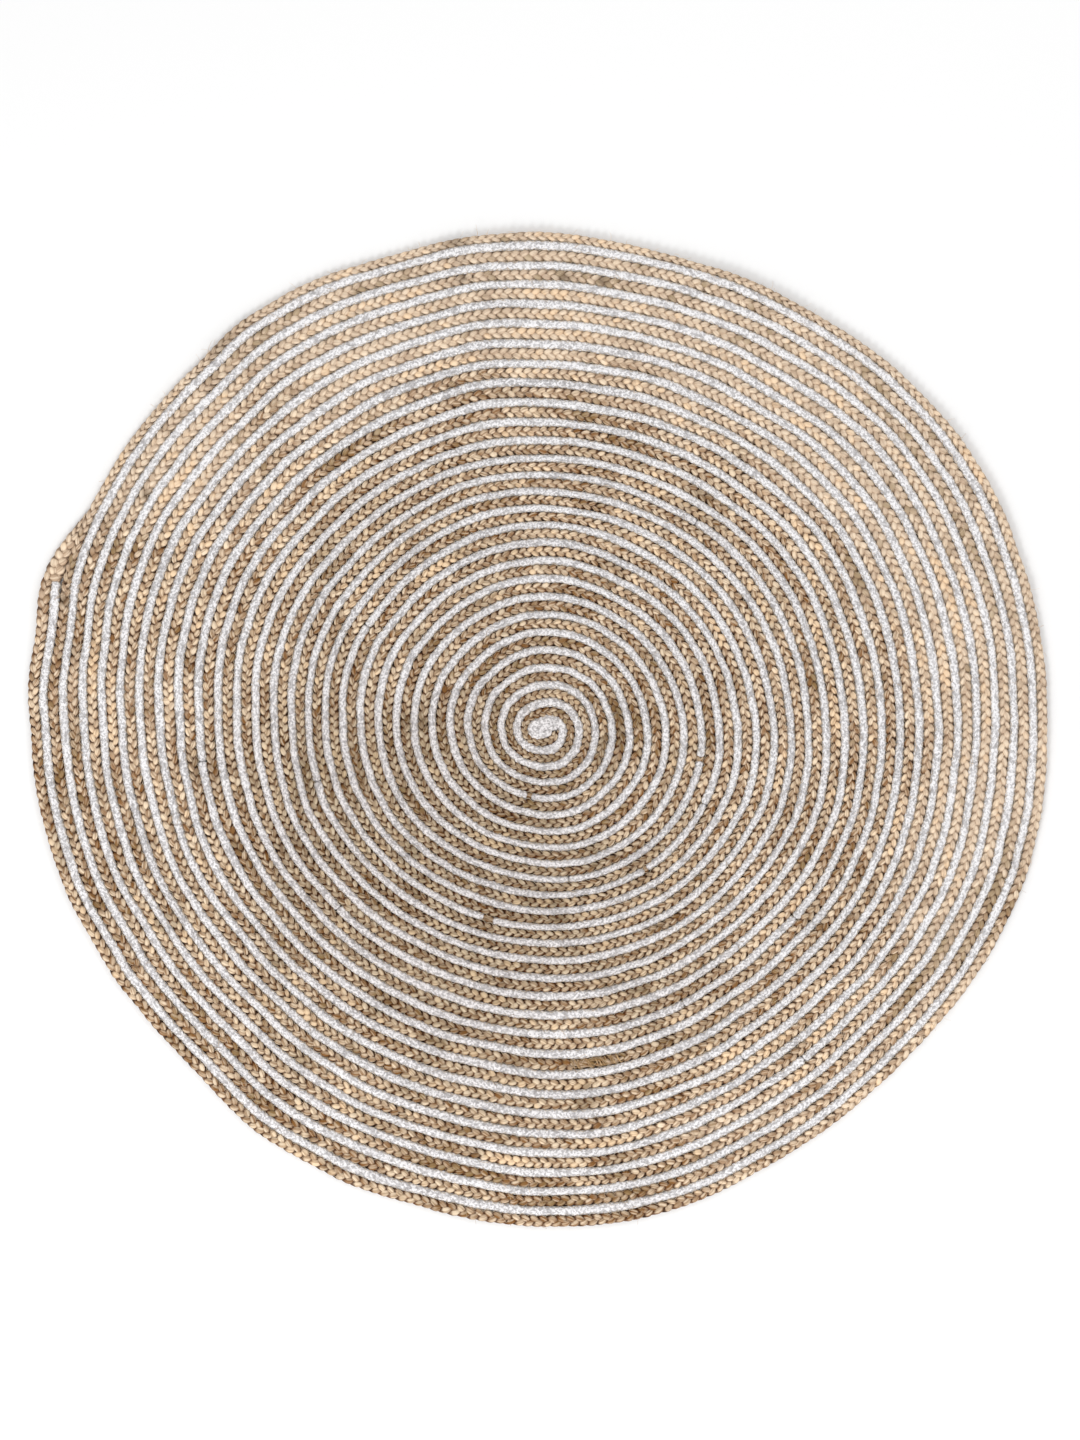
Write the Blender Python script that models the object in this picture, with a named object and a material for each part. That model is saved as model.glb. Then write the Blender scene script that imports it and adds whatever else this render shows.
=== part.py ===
"""Round braided area rug, laid flat.

Two braids, a broad three-strand jute one and a narrower cotton one, are laid side by
side in one flat spiral and sewn edge to edge. Each braid is made of several lengths
that meet end to end, and a seam thread lies in the groove on either side of the cotton.

Metres, +Z up, origin on the floor under the middle of the rug's bounding box.
A place along the spiral is given in turns, counted from the eye, clockwise from above.
"""

import math
from typing import NamedTuple

import bpy

# The braids and the way they are sewn.
JUTE_WIDTH = 0.0119
JUTE_THICKNESS = 0.0095
WHITE_WIDTH = 0.0087
WHITE_THICKNESS = 0.0085
SEAM_GAP = 0.0003
END_GAP = 0.0003
JUTE_EDGE_INSET = 0.0016
WHITE_EDGE_INSET = 0.0013
THREAD_DEPTH = 0.0025
THREAD_BELOW_TOP = 0.0005

# The spiral.
TURNS = 27.546
EYE_RADIUS = 0.0048
LAY_AT_EYE = 0.884
LAY_AT_RIM = 1.117
EYE_FADE = 2.5
WHITE_START = 0.0
JUTE_START = 0.02
THREAD_START = 0.25
TAIL_PAST_WHITE = 0.024
TAIL_TUCK = 0.006
TAIL_END_WIDTH = 0.0045
SEGMENTS_PER_TURN = 24

# Where one cotton length ends and the next begins: share of the turns, opening left there.
WHITE_JOINTS = (
    (0.1554, 0.0050),
    (0.3279, 0.0050),
    (0.3348, END_GAP),
    (0.3656, END_GAP),
    (0.3685, 0.0040),
    (0.4205, END_GAP),
    (0.4463, 0.0120),
    (0.4887, END_GAP),
    (0.5323, END_GAP),
    (0.5392, END_GAP),
    (0.5948, END_GAP),
    (0.6572, END_GAP),
    (0.6598, END_GAP),
    (0.7073, END_GAP),
    (0.8046, END_GAP),
    (0.8765, END_GAP),
)

# The same for the jute lengths. The bound splice fills its own stretch between two of them.
JUTE_JOINTS = (
    (0.1558, END_GAP),
    (0.2059, END_GAP),
    (0.3326, END_GAP),
    (0.6017, END_GAP),
    (0.6623, END_GAP),
    (0.8976, 0.0060),
    (0.9637, 0.0040),
)
SPLICE_PLACE = 0.6979
SPLICE_LENGTH = 0.054


class Wave(NamedTuple):
    """A departure from a true round: lobes around the rug, growing outwards from the eye."""

    lobes: int
    crest: float
    rise: float
    growth: int


class Kink(NamedTuple):
    """A short bump or dip across the outer turns, where the rug has been folded."""

    place: float
    spread: float
    rise: float


WAVES = (
    Wave(lobes=1, crest=51.0, rise=0.0103, growth=1),
    Wave(lobes=1, crest=141.0, rise=0.0084, growth=3),
    Wave(lobes=2, crest=-30.0, rise=0.0172, growth=1),
    Wave(lobes=2, crest=154.0, rise=0.0107, growth=3),
    Wave(lobes=3, crest=-130.0, rise=0.0045, growth=1),
    Wave(lobes=3, crest=70.0, rise=0.0126, growth=3),
    Wave(lobes=4, crest=12.0, rise=0.0017, growth=1),
    Wave(lobes=6, crest=-131.0, rise=0.0022, growth=1),
)

KINKS = (
    Kink(place=122.0, spread=7.0, rise=0.0035),
    Kink(place=142.0, spread=8.0, rise=-0.0035),
    Kink(place=195.0, spread=8.0, rise=0.0025),
    Kink(place=220.0, spread=8.0, rise=-0.0042),
    Kink(place=240.0, spread=8.0, rise=0.0040),
    Kink(place=337.0, spread=10.0, rise=0.0030),
)
KINK_GROWTH = 4

# The flattened curl at the eye, which fades over the first few turns.
EYE_WAVES = (
    Wave(lobes=0, crest=0.0, rise=-0.0040, growth=0),
    Wave(lobes=1, crest=270.0, rise=0.0045, growth=0),
    Wave(lobes=2, crest=0.0, rise=0.0040, growth=0),
)

JUTE_COLOR = (0.47, 0.36, 0.22, 1.0)
WHITE_COLOR = (0.70, 0.70, 0.71, 1.0)
THREAD_COLOR = (0.62, 0.58, 0.50, 1.0)
SPLICE_COLOR = (0.42, 0.31, 0.18, 1.0)

# Worked out from the values above.
PITCH = JUTE_WIDTH + WHITE_WIDTH + 2.0 * SEAM_GAP
WHITE_SHARE = (WHITE_WIDTH + SEAM_GAP) / PITCH
WHITE_INNER = -WHITE_SHARE / 2.0
WHITE_OUTER = WHITE_SHARE / 2.0
JUTE_OUTER = 1.0 - WHITE_SHARE / 2.0
HALF_GAP = SEAM_GAP / 2.0
WHITE_END = TURNS
JUTE_END = TURNS + TAIL_PAST_WHITE


def remove_scene_objects():
    """Start from an empty scene."""
    for old in list(bpy.data.objects):
        bpy.data.objects.remove(old, do_unlink=True)


def lay_radius(turn, angle):
    """Radius of the lay line at a number of turns out, in the direction of an angle."""
    reach = turn / TURNS
    radius = EYE_RADIUS + PITCH * turn * (LAY_AT_EYE + (LAY_AT_RIM - LAY_AT_EYE) * reach / 2.0)
    for wave in WAVES:
        swing = math.cos(wave.lobes * angle - math.radians(wave.crest))
        radius += wave.rise * reach ** wave.growth * swing
    fade = math.exp(-turn / EYE_FADE)
    for wave in EYE_WAVES:
        radius += wave.rise * fade * math.cos(wave.lobes * angle - math.radians(wave.crest))
    for kink in KINKS:
        away = (math.degrees(angle) - kink.place + 180.0) % 360.0 - 180.0
        radius += kink.rise * reach ** KINK_GROWTH * math.exp(-0.5 * (away / kink.spread) ** 2)
    return radius


def corner_point(step, across, inset):
    """Plan position, from the eye, at a whole segment step of the spiral."""
    turn = step / SEGMENTS_PER_TURN
    angle = -2.0 * math.pi * turn
    radius = lay_radius(turn + across, angle) + inset
    return radius * math.cos(angle), radius * math.sin(angle)


def plan_point(turn, across, inset):
    """Plan position at any turn, on the straight between its two segment steps."""
    place = turn * SEGMENTS_PER_TURN
    step = math.floor(place)
    share = place - step
    start = corner_point(step, across, inset)
    end = corner_point(step + 1, across, inset)
    return tuple(a + (b - a) * share for a, b in zip(start, end))


def middle_of_outline():
    """Middle of the outer edge's bounding box, seen from the eye."""
    first = math.floor((WHITE_END - 1.0) * SEGMENTS_PER_TURN)
    edge = [corner_point(first + i, JUTE_OUTER, -HALF_GAP) for i in range(SEGMENTS_PER_TURN + 1)]
    xs = [point[0] for point in edge]
    ys = [point[1] for point in edge]
    return (min(xs) + max(xs)) / 2.0, (min(ys) + max(ys)) / 2.0


MIDDLE = middle_of_outline()


def turns_between(start, end, extra=()):
    """The turns at which a strip has a section: its ends, each segment step, and extras."""
    margin = 0.003 / SEGMENTS_PER_TURN
    places = [start] + [turn for turn in extra if start < turn < end]
    step = math.ceil(start * SEGMENTS_PER_TURN)
    while step / SEGMENTS_PER_TURN < end:
        turn = step / SEGMENTS_PER_TURN
        if turn - start > margin and end - turn > margin:
            places.append(turn)
        step += 1
    return sorted(set(places)) + [end]


def gap_in_turns(turn, gap):
    """A distance along the braid, as a part of a turn."""
    return gap / (2.0 * math.pi * lay_radius(turn, -2.0 * math.pi * turn))


def make_material(name, color):
    """A plain matt textile finish."""
    material = bpy.data.materials.new(name)
    material.use_nodes = True
    shader = material.node_tree.nodes["Principled BSDF"]
    shader.inputs["Base Color"].default_value = color
    shader.inputs["Roughness"].default_value = 0.95
    shader.inputs["Metallic"].default_value = 0.0
    return material


def make_strip(name, sections, color):
    """Join rings of corner points, one ring at each section, into one closed strip."""
    corners = len(sections[0])
    points = [(x - MIDDLE[0], y - MIDDLE[1], z) for ring in sections for x, y, z in ring]
    faces = [tuple(reversed(range(corners)))]
    for row in range(len(sections) - 1):
        first = row * corners
        for i in range(corners):
            j = (i + 1) % corners
            faces.append((first + i, first + j, first + corners + j, first + corners + i))
    last = (len(sections) - 1) * corners
    faces.append(tuple(range(last, last + corners)))
    mesh = bpy.data.meshes.new(name)
    mesh.from_pydata(points, [], faces)
    mesh.update()
    strip = bpy.data.objects.new(name, mesh)
    strip.data.materials.append(make_material(name, color))
    bpy.context.collection.objects.link(strip)
    return strip


def braid_ring(turn, inner, outer, thickness, edge_inset):
    """Corner points of a braid's section: flat below, its upper edges drawn in."""
    low_in = plan_point(turn, inner, HALF_GAP)
    low_out = plan_point(turn, outer, -HALF_GAP)
    top_out = plan_point(turn, outer, -HALF_GAP - edge_inset)
    top_in = plan_point(turn, inner, HALF_GAP + edge_inset)
    return [(*low_in, 0.0), (*low_out, 0.0), (*top_out, thickness), (*top_in, thickness)]


def make_white_length(name, start, end):
    """One length of the cotton braid."""
    sections = [
        braid_ring(turn, WHITE_INNER, WHITE_OUTER, WHITE_THICKNESS, WHITE_EDGE_INSET)
        for turn in turns_between(start, end)
    ]
    make_strip(name, sections, WHITE_COLOR)


def tail_share(turn, start, end):
    """How far along a stretch of the tail a turn lies, from nought to one."""
    return min(1.0, max(0.0, (turn - start) / (end - start)))


def jute_inner_at(turn):
    """Inner edge of the jute: past the cotton's end it is tucked against the last round."""
    clear = WHITE_END + gap_in_turns(WHITE_END, 2.0 * END_GAP)
    share = tail_share(turn, clear, WHITE_END + TAIL_TUCK)
    return WHITE_OUTER + (WHITE_INNER - WHITE_OUTER) * share


def jute_outer_at(turn):
    """Outer edge of the jute: full width, then narrowing over its tail."""
    share = tail_share(turn, WHITE_END, JUTE_END)
    return JUTE_OUTER + (WHITE_INNER + TAIL_END_WIDTH / PITCH - JUTE_OUTER) * share


def make_jute_length(name, start, end, color=JUTE_COLOR):
    """One length of the jute braid."""
    clear = WHITE_END + gap_in_turns(WHITE_END, 2.0 * END_GAP)
    bends = (WHITE_END, clear, WHITE_END + TAIL_TUCK)
    sections = [
        braid_ring(turn, jute_inner_at(turn), jute_outer_at(turn), JUTE_THICKNESS, JUTE_EDGE_INSET)
        for turn in turns_between(start, end, extra=bends)
    ]
    make_strip(name, sections, color)


def lengths_between(start, end, joints):
    """Start and end of each length of a braid that is cut at its joints."""
    starts = [start]
    ends = []
    for share, gap in joints:
        turn = share * TURNS
        half = gap_in_turns(turn, gap) / 2.0
        ends.append(turn - half)
        starts.append(turn + half)
    ends.append(end)
    return list(zip(starts, ends))


def make_white_braid():
    """The cotton braid, in its numbered lengths from the eye outwards."""
    for i, (start, end) in enumerate(lengths_between(WHITE_START, WHITE_END, WHITE_JOINTS)):
        make_white_length(f"white_braid_length_{i + 1:02d}", start, end)


def splice_ends():
    """Start and end of the bound splice."""
    middle = SPLICE_PLACE * TURNS
    half = gap_in_turns(middle, SPLICE_LENGTH) / 2.0
    return middle - half, middle + half


def make_jute_braid():
    """The jute braid, in its numbered lengths from the eye outwards."""
    splice = (SPLICE_PLACE, SPLICE_LENGTH + 2.0 * END_GAP)
    joints = sorted(JUTE_JOINTS + (splice,))
    for i, (start, end) in enumerate(lengths_between(JUTE_START, JUTE_END, joints)):
        make_jute_length(f"jute_braid_length_{i + 1:02d}", start, end)


def make_bound_splice():
    """The stretch where two jute lengths lie together, wound round with yarn."""
    start, end = splice_ends()
    make_jute_length("jute_bound_splice", start, end, SPLICE_COLOR)


def thread_ring(turn, across, inner_inset, inner_thickness, outer_inset, outer_thickness):
    """Corner points of a seam thread: a wedge seated in the groove between two braids."""
    top = min(inner_thickness, outer_thickness) - THREAD_BELOW_TOP
    to_inner = HALF_GAP + inner_inset * top / inner_thickness - SEAM_GAP
    to_outer = HALF_GAP + outer_inset * top / outer_thickness - SEAM_GAP
    root = plan_point(turn, across, 0.0)
    top_in = plan_point(turn, across, -to_inner)
    top_out = plan_point(turn, across, to_outer)
    return [(*root, top - THREAD_DEPTH), (*top_out, top), (*top_in, top)]


def make_seam_threads():
    """The two seams of the spiral, one on either side of the cotton braid."""
    white = (WHITE_EDGE_INSET, WHITE_THICKNESS)
    jute = (JUTE_EDGE_INSET, JUTE_THICKNESS)
    outside = [
        thread_ring(turn, WHITE_OUTER, *white, *jute)
        for turn in turns_between(THREAD_START, WHITE_END)
    ]
    make_strip("seam_thread_outside_white", outside, THREAD_COLOR)
    inside = [
        thread_ring(turn, JUTE_OUTER, *jute, *white)
        for turn in turns_between(THREAD_START, WHITE_END - 1.0)
    ]
    make_strip("seam_thread_inside_white", inside, THREAD_COLOR)


def main():
    """Build every piece of the rug."""
    remove_scene_objects()
    make_white_braid()
    make_jute_braid()
    make_bound_splice()
    make_seam_threads()


main()
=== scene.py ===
"""Round braided area rug: the finished look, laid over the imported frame.

Every braid length is plaited along the same spiral that the frame follows. The jute is a
flat plait of three strands, the cotton is a round-braided cord pressed oval, and zigzag
seams hold them edge to edge. Sizes are metres, and a place along the spiral is given in
turns, counted from the eye, clockwise from above.
"""

import logging
import math
from collections.abc import Callable
from dataclasses import dataclass, field
from enum import Enum

import bpy
import numpy as np
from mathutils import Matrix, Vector


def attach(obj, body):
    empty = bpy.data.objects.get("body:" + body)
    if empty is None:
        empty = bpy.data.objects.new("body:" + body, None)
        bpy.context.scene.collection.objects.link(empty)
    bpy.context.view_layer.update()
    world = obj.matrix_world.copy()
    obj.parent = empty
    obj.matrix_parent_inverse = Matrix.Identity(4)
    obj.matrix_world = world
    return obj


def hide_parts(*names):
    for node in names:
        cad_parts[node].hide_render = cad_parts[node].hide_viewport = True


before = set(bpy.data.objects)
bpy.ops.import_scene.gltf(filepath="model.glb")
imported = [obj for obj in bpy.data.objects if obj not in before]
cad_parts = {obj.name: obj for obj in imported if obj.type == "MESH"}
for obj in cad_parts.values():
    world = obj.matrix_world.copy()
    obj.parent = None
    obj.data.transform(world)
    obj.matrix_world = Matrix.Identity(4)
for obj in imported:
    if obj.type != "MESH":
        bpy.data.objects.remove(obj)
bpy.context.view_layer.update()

log = logging.getLogger("rug")
TAU = 2.0 * math.pi


# ---- the spiral


@dataclass(frozen=True)
class Wave:
    """A departure from a true round: lobes around the rug, growing outwards from the eye."""

    lobes: int
    crest: float
    rise: float
    growth: int = 0


@dataclass(frozen=True)
class Kink:
    """A short bump or dip across the outer turns, where the rug has been folded."""

    place: float
    spread: float
    rise: float


@dataclass(frozen=True)
class SpiralLay:
    """The double spiral that both braids follow, in the frame's own driving sizes."""

    jute_width: float = 0.0119
    white_width: float = 0.0087
    seam_gap: float = 0.0003
    turns: float = 27.546
    eye_radius: float = 0.0048
    lay_at_eye: float = 0.884
    lay_at_rim: float = 1.117
    eye_fade: float = 2.5
    kink_growth: int = 4
    steps_per_turn: int = 24
    waves: tuple[Wave, ...] = (
        Wave(1, 51.0, 0.0103, 1),
        Wave(1, 141.0, 0.0084, 3),
        Wave(2, -30.0, 0.0172, 1),
        Wave(2, 154.0, 0.0107, 3),
        Wave(3, -130.0, 0.0045, 1),
        Wave(3, 70.0, 0.0126, 3),
        Wave(4, 12.0, 0.0017, 1),
        Wave(6, -131.0, 0.0022, 1),
    )
    kinks: tuple[Kink, ...] = (
        Kink(122.0, 7.0, 0.0035),
        Kink(142.0, 8.0, -0.0035),
        Kink(195.0, 8.0, 0.0025),
        Kink(220.0, 8.0, -0.0042),
        Kink(240.0, 8.0, 0.0040),
        Kink(337.0, 10.0, 0.0030),
    )
    eye_waves: tuple[Wave, ...] = (
        Wave(0, 0.0, -0.0040),
        Wave(1, 270.0, 0.0045),
        Wave(2, 0.0, 0.0040),
    )

    @property
    def pitch(self) -> float:
        """Width of one pair of braids with both seams."""
        return self.jute_width + self.white_width + 2.0 * self.seam_gap

    @property
    def white_outer(self) -> float:
        """The cotton's outer edge, as a share of a turn out from its lay line."""
        return (self.white_width + self.seam_gap) / self.pitch / 2.0

    @property
    def jute_outer(self) -> float:
        """The jute's outer edge, as a share of a turn out from the cotton's lay line."""
        return 1.0 - self.white_outer

    def radius(self, turn: np.ndarray, angle: np.ndarray) -> np.ndarray:
        """Radius of the lay line.

        Args:
            turn: Number of turns out from the eye.
            angle: Direction from the eye, in radians.

        Returns:
            The distance from the eye, in metres.
        """
        reach = turn / self.turns
        opening = (self.lay_at_rim - self.lay_at_eye) * reach / 2.0
        out = self.eye_radius + self.pitch * turn * (self.lay_at_eye + opening)
        for wave in self.waves:
            swing = np.cos(wave.lobes * angle - math.radians(wave.crest))
            out = out + wave.rise * reach**wave.growth * swing
        fade = np.exp(-turn / self.eye_fade)
        for wave in self.eye_waves:
            out = out + wave.rise * fade * np.cos(wave.lobes * angle - math.radians(wave.crest))
        for kink in self.kinks:
            away = (np.degrees(angle) - kink.place + 180.0) % 360.0 - 180.0
            bump = np.exp(-0.5 * (away / kink.spread) ** 2)
            out = out + kink.rise * reach**self.kink_growth * bump
        return out

    def from_eye(self, turn: np.ndarray, across: np.ndarray | float) -> np.ndarray:
        """Plan positions seen from the eye.

        Args:
            turn: Turns along the spiral.
            across: How far out from the lay line, as a share of a turn.

        Returns:
            An array of x and y.
        """
        angle = -TAU * turn
        radius = self.radius(turn + across, angle)
        return np.stack([radius * np.cos(angle), radius * np.sin(angle)], axis=-1)

    def middle(self) -> np.ndarray:
        """Middle of the outline's bounding box, as the frame has it.

        Returns:
            Its x and y, seen from the eye.
        """
        first = math.floor((self.turns - 1.0) * self.steps_per_turn)
        steps = np.arange(first, first + self.steps_per_turn + 1) / self.steps_per_turn
        angle = -TAU * steps
        radius = self.radius(steps + self.jute_outer, angle) - self.seam_gap / 2.0
        edge = np.stack([radius * np.cos(angle), radius * np.sin(angle)], axis=-1)
        return (edge.min(0) + edge.max(0)) / 2.0


def eased(share: np.ndarray) -> np.ndarray:
    """A share from 0 to 1, eased at both ends."""
    return share * share * (3.0 - 2.0 * share)


@dataclass(frozen=True)
class PulledRing:
    """How far the sewing drew one ring of the rug in or out.

    The pulls are in millimetres, outwards, evenly spaced counter-clockwise from the right.
    """

    radius: float
    breadth: float
    pulls: tuple[float, ...]

    def outwards(self, radius: np.ndarray, angle: np.ndarray) -> np.ndarray:
        """Outward movement of places near the ring.

        Args:
            radius: Distance of each place from the eye.
            angle: Its direction, in radians.

        Returns:
            The movement in metres, fading away from the ring.
        """
        count = len(self.pulls)
        place = (angle % TAU) / TAU * count
        low = np.floor(place).astype(int)
        share = eased(place - low)
        pulls = np.array(self.pulls)
        here = pulls[low % count] * (1.0 - share) + pulls[(low + 1) % count] * share
        return 0.001 * here * np.exp(-0.5 * ((radius - self.radius) / self.breadth) ** 2)


@dataclass(frozen=True)
class HandLaying:
    """The unevenness that hand sewing leaves, shared by all pieces so that they stay side by side.

    The pulls of the rings are a fitted table: they aren't worked out from the other sizes.
    """

    sway: float = 0.00024
    sway_lengths: tuple[float, float] = (0.060, 0.180)
    pulled: tuple[PulledRing, ...] = (
        PulledRing(0.06, 0.07, (-1.5,)),
        PulledRing(0.20, 0.07, (2.1, -0.4, 2.3, 0.8, 1.9, 1.7, 1.0, 3.9)),
        PulledRing(0.34, 0.07, (0.6, -0.1, -1.5, -3.3, -2.7, -1.4, -2.3, -0.7, -1.2, -2.2, -2.5, -0.6)),
        PulledRing(0.47, 0.06, (-0.6, 1.6, 0.2, -0.5, -0.3, 1.5, 0.4, 1.3, 1.3, 4.2, 2.4, 1.1)),
        PulledRing(0.60, 0.05, (
            -0.9, -2.4, -1.9, -3.0, -3.3, -3.8, -2.0, -4.0, -2.2, -1.6, -2.8, -2.4, -2.1, 1.8, 1.4, -0.5,
            0.8, -1.0, -0.5, 1.6, 1.2, 1.8, 2.8, 2.7,
        )),
        PulledRing(0.08, 0.05, (
            -1.4, -0.6, -0.6, 0.6, 1.2, 2.3, 2.2, 3.0, 2.3, 0.1, -0.4, -0.4, -0.8, -0.9, -0.7, -1.0, -0.5,
            -1.4, -2.9, -2.7, -2.7, -3.5, -2.5, -1.2, -0.7, -0.1, 1.1, 2.0, 2.2, 2.3, 2.5, 1.8, 2.5, 2.4,
            0.9, -0.3, -0.2, -2.1, -2.9, -1.8,
        )),
        PulledRing(0.17, 0.05, (
            -0.1, -0.6, -0.9, -0.5, -0.1, -0.3, -1.9, -1.9, -0.9, 0.2, -0.4, -0.4, -1.5, -1.5, -1.4, -1.3,
            -1.4, -0.6, -0.3, -0.8, -1.2, -0.4, -0.4, 0.1, -0.2, 0.2, 0.8, 1.7, 1.9, 1.7, 2.5, 3.1, 3.1,
            2.2, 2.3, 1.8, 1.1, 1.0, 1.1, 0.2,
        )),
        PulledRing(0.26, 0.05, (
            1.9, 0.1, 0.6, 0.5, 1.5, 2.4, 2.4, 1.1, 1.0, 1.4, 1.7, 1.1, 2.1, 1.4, 2.1, 0.7, 0.3, 1.4, 0.6,
            0.3, -1.3, 0.6, 2.6, -0.4, -0.8, -0.4, -0.5, -1.0, -1.3, -0.6, -1.6, -2.2, -2.3, -1.5, 1.3, 0.3,
            -0.7, -0.3, 1.8, 2.0,
        )),
        PulledRing(0.35, 0.05, (
            -0.4, -0.1, -0.1, 0.5, -0.6, -1.3, -0.6, -0.9, -1.5, -2.4, -2.5, -1.9, -1.5, -2.6, -1.2, -2.5,
            -2.0, -1.1, -0.4, -1.3, -1.3, -1.4, -0.5, -0.5, -1.6, -1.3, 0.6, 0.5, 0.7, 0.5, 1.5, 0.8, 0.3,
            2.2, 0.6, -0.7, -0.3, 1.9, 1.5, 1.1,
        )),
        PulledRing(0.44, 0.05, (
            -0.1, -0.4, 0.1, -0.4, 1.5, 0.5, -1.1, -0.4, 1.6, -0.6, -1.1, 2.4, -0.6, -0.6, -1.5, 0.8, 0.4,
            -0.1, -0.4, -0.7, -0.5, 0.3, 2.6, 2.1, -0.2, 0.2, 0.3, 1.1, 1.7, -0.9, 0.6, 2.5, 1.3, 1.7, -1.2,
            -0.7, 0.9, 0.3, 0.4, 0.7,
        )),
        PulledRing(0.53, 0.05, (
            1.6, 2.4, 1.2, -0.1, 1.5, 2.0, 0.5, 0.6, 0.0, -0.4, -0.2, 1.2, -2.0, 0.8, 1.6, -1.1, -0.7, 1.0,
            0.4, -1.3, -0.3, -0.0, -0.2, -2.2, -1.3, -2.5, -0.4, 0.4, -0.5, -0.4, 0.5, 2.1, 0.6, 0.4, 1.7,
            0.9, 0.5, 1.4, 1.6, -0.6,
        )),
        PulledRing(0.61, 0.05, (
            -1.6, -0.8, -0.9, -0.3, 0.3, -0.6, -0.6, 0.1, -0.6, -1.8, 0.3, -2.3, -0.9, -0.2, 1.4, -1.4,
            -0.0, -2.4, -1.2, -0.3, -0.9, 0.5, 0.6, 2.1, 1.9, 0.5, 3.0, -0.6, 0.8, -0.1, -0.4, -0.5, 1.2,
            0.3, 1.3, 0.5, 0.4, 1.4, 0.7, 1.0,
        )),
    )
    eye: tuple[float, float] = (0.0046, 0.0013)
    eye_slip: tuple[float, float] = (0.0012, -0.0036)
    eye_reach: float = 0.11
    squeeze: tuple[float, float] = (-0.592, 0.128)
    squeezed: tuple[float, float] = (0.0068, -0.0014)
    squeeze_reach: float = 0.034
    ripple: float = 0.0016
    ripple_lengths: tuple[float, float] = (0.22, 0.40)
    rim: float = 0.60
    seed: int = 41

    def _field(self, plan: np.ndarray, count: int, lengths: tuple[float, float], salt: int) -> np.ndarray:
        """Sum of plane waves.

        Args:
            plan: Plan positions.
            count: How many waves are summed.
            lengths: Shortest and longest wave.
            salt: Sets the random draws apart from those of other fields.

        Returns:
            One value for each position.
        """
        rng = np.random.default_rng(self.seed + salt)
        headings = rng.uniform(0.0, TAU, count)
        numbers = TAU / rng.uniform(*lengths, count)
        starts = rng.uniform(0.0, TAU, count)
        total = np.zeros(len(plan))
        for heading, number, start in zip(headings, numbers, starts):
            way = plan[:, 0] * math.cos(heading) + plan[:, 1] * math.sin(heading)
            total += np.sin(number * way + start)
        return total

    def shift(self, plan: np.ndarray) -> np.ndarray:
        """Move plan positions to where hand sewing left them.

        Args:
            plan: Positions on the true spiral.

        Returns:
            The moved positions.
        """
        sway_x = self._field(plan, 9, self.sway_lengths, 1)
        sway_y = self._field(plan, 9, self.sway_lengths, 2)
        moved = plan + self.sway * np.stack([sway_x, sway_y], axis=-1)
        away = plan - np.array(self.eye)
        radius = np.hypot(away[:, 0], away[:, 1])
        angle = np.arctan2(away[:, 1], away[:, 0])
        drawn = sum(ring.outwards(radius, angle) for ring in self.pulled)
        slipped = np.exp(-0.5 * (radius / self.eye_reach) ** 2)[:, None] * np.array(self.eye_slip)
        off = np.linalg.norm(plan - np.array(self.squeeze), axis=1)
        pressed = np.exp(-0.5 * (off / self.squeeze_reach) ** 2)[:, None] * np.array(self.squeezed)
        return moved + slipped + pressed + away * (drawn / np.maximum(radius, 0.03))[:, None]

    def lift(self, plan: np.ndarray) -> np.ndarray:
        """Height of the underside over the floor: nothing at the eye, a little at the rim.

        Args:
            plan: Plan positions.

        Returns:
            The height at each position.
        """
        reach = np.clip(np.hypot(plan[:, 0], plan[:, 1]) / self.rim, 0.0, 1.1)
        swell = self._field(plan, 5, self.ripple_lengths, 3) / 2.5
        return self.ripple * reach**2 * (1.0 + np.tanh(swell))


@dataclass(frozen=True)
class LaidPath:
    """Samples along one stretch of braid, evenly spaced along its length."""

    along: np.ndarray
    turn: np.ndarray
    centre: np.ndarray
    outward: np.ndarray
    half_width: np.ndarray
    lift: np.ndarray

    def at(self, along: np.ndarray) -> "LaidPath":
        """The path sampled at other distances along it.

        Args:
            along: The distances.

        Returns:
            The path with one sample for each distance.
        """
        table = np.column_stack([self.turn, self.centre, self.outward, self.half_width, self.lift])
        drawn = np.stack([np.interp(along, self.along, values) for values in table.T], axis=1)
        return LaidPath(along, drawn[:, 0], drawn[:, 1:3], drawn[:, 3:5], drawn[:, 5], drawn[:, 6])

    def spine(self, across: np.ndarray | float, height: np.ndarray) -> np.ndarray:
        """Points beside the path's middle.

        Args:
            across: Distance outwards at each sample.
            height: Height at each sample.

        Returns:
            An array of x, y and z.
        """
        beside = self.outward * np.broadcast_to(across, height.shape)[:, None]
        return np.concatenate([self.centre + beside, height[:, None]], axis=1)


Edge = Callable[[np.ndarray], np.ndarray]


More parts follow.
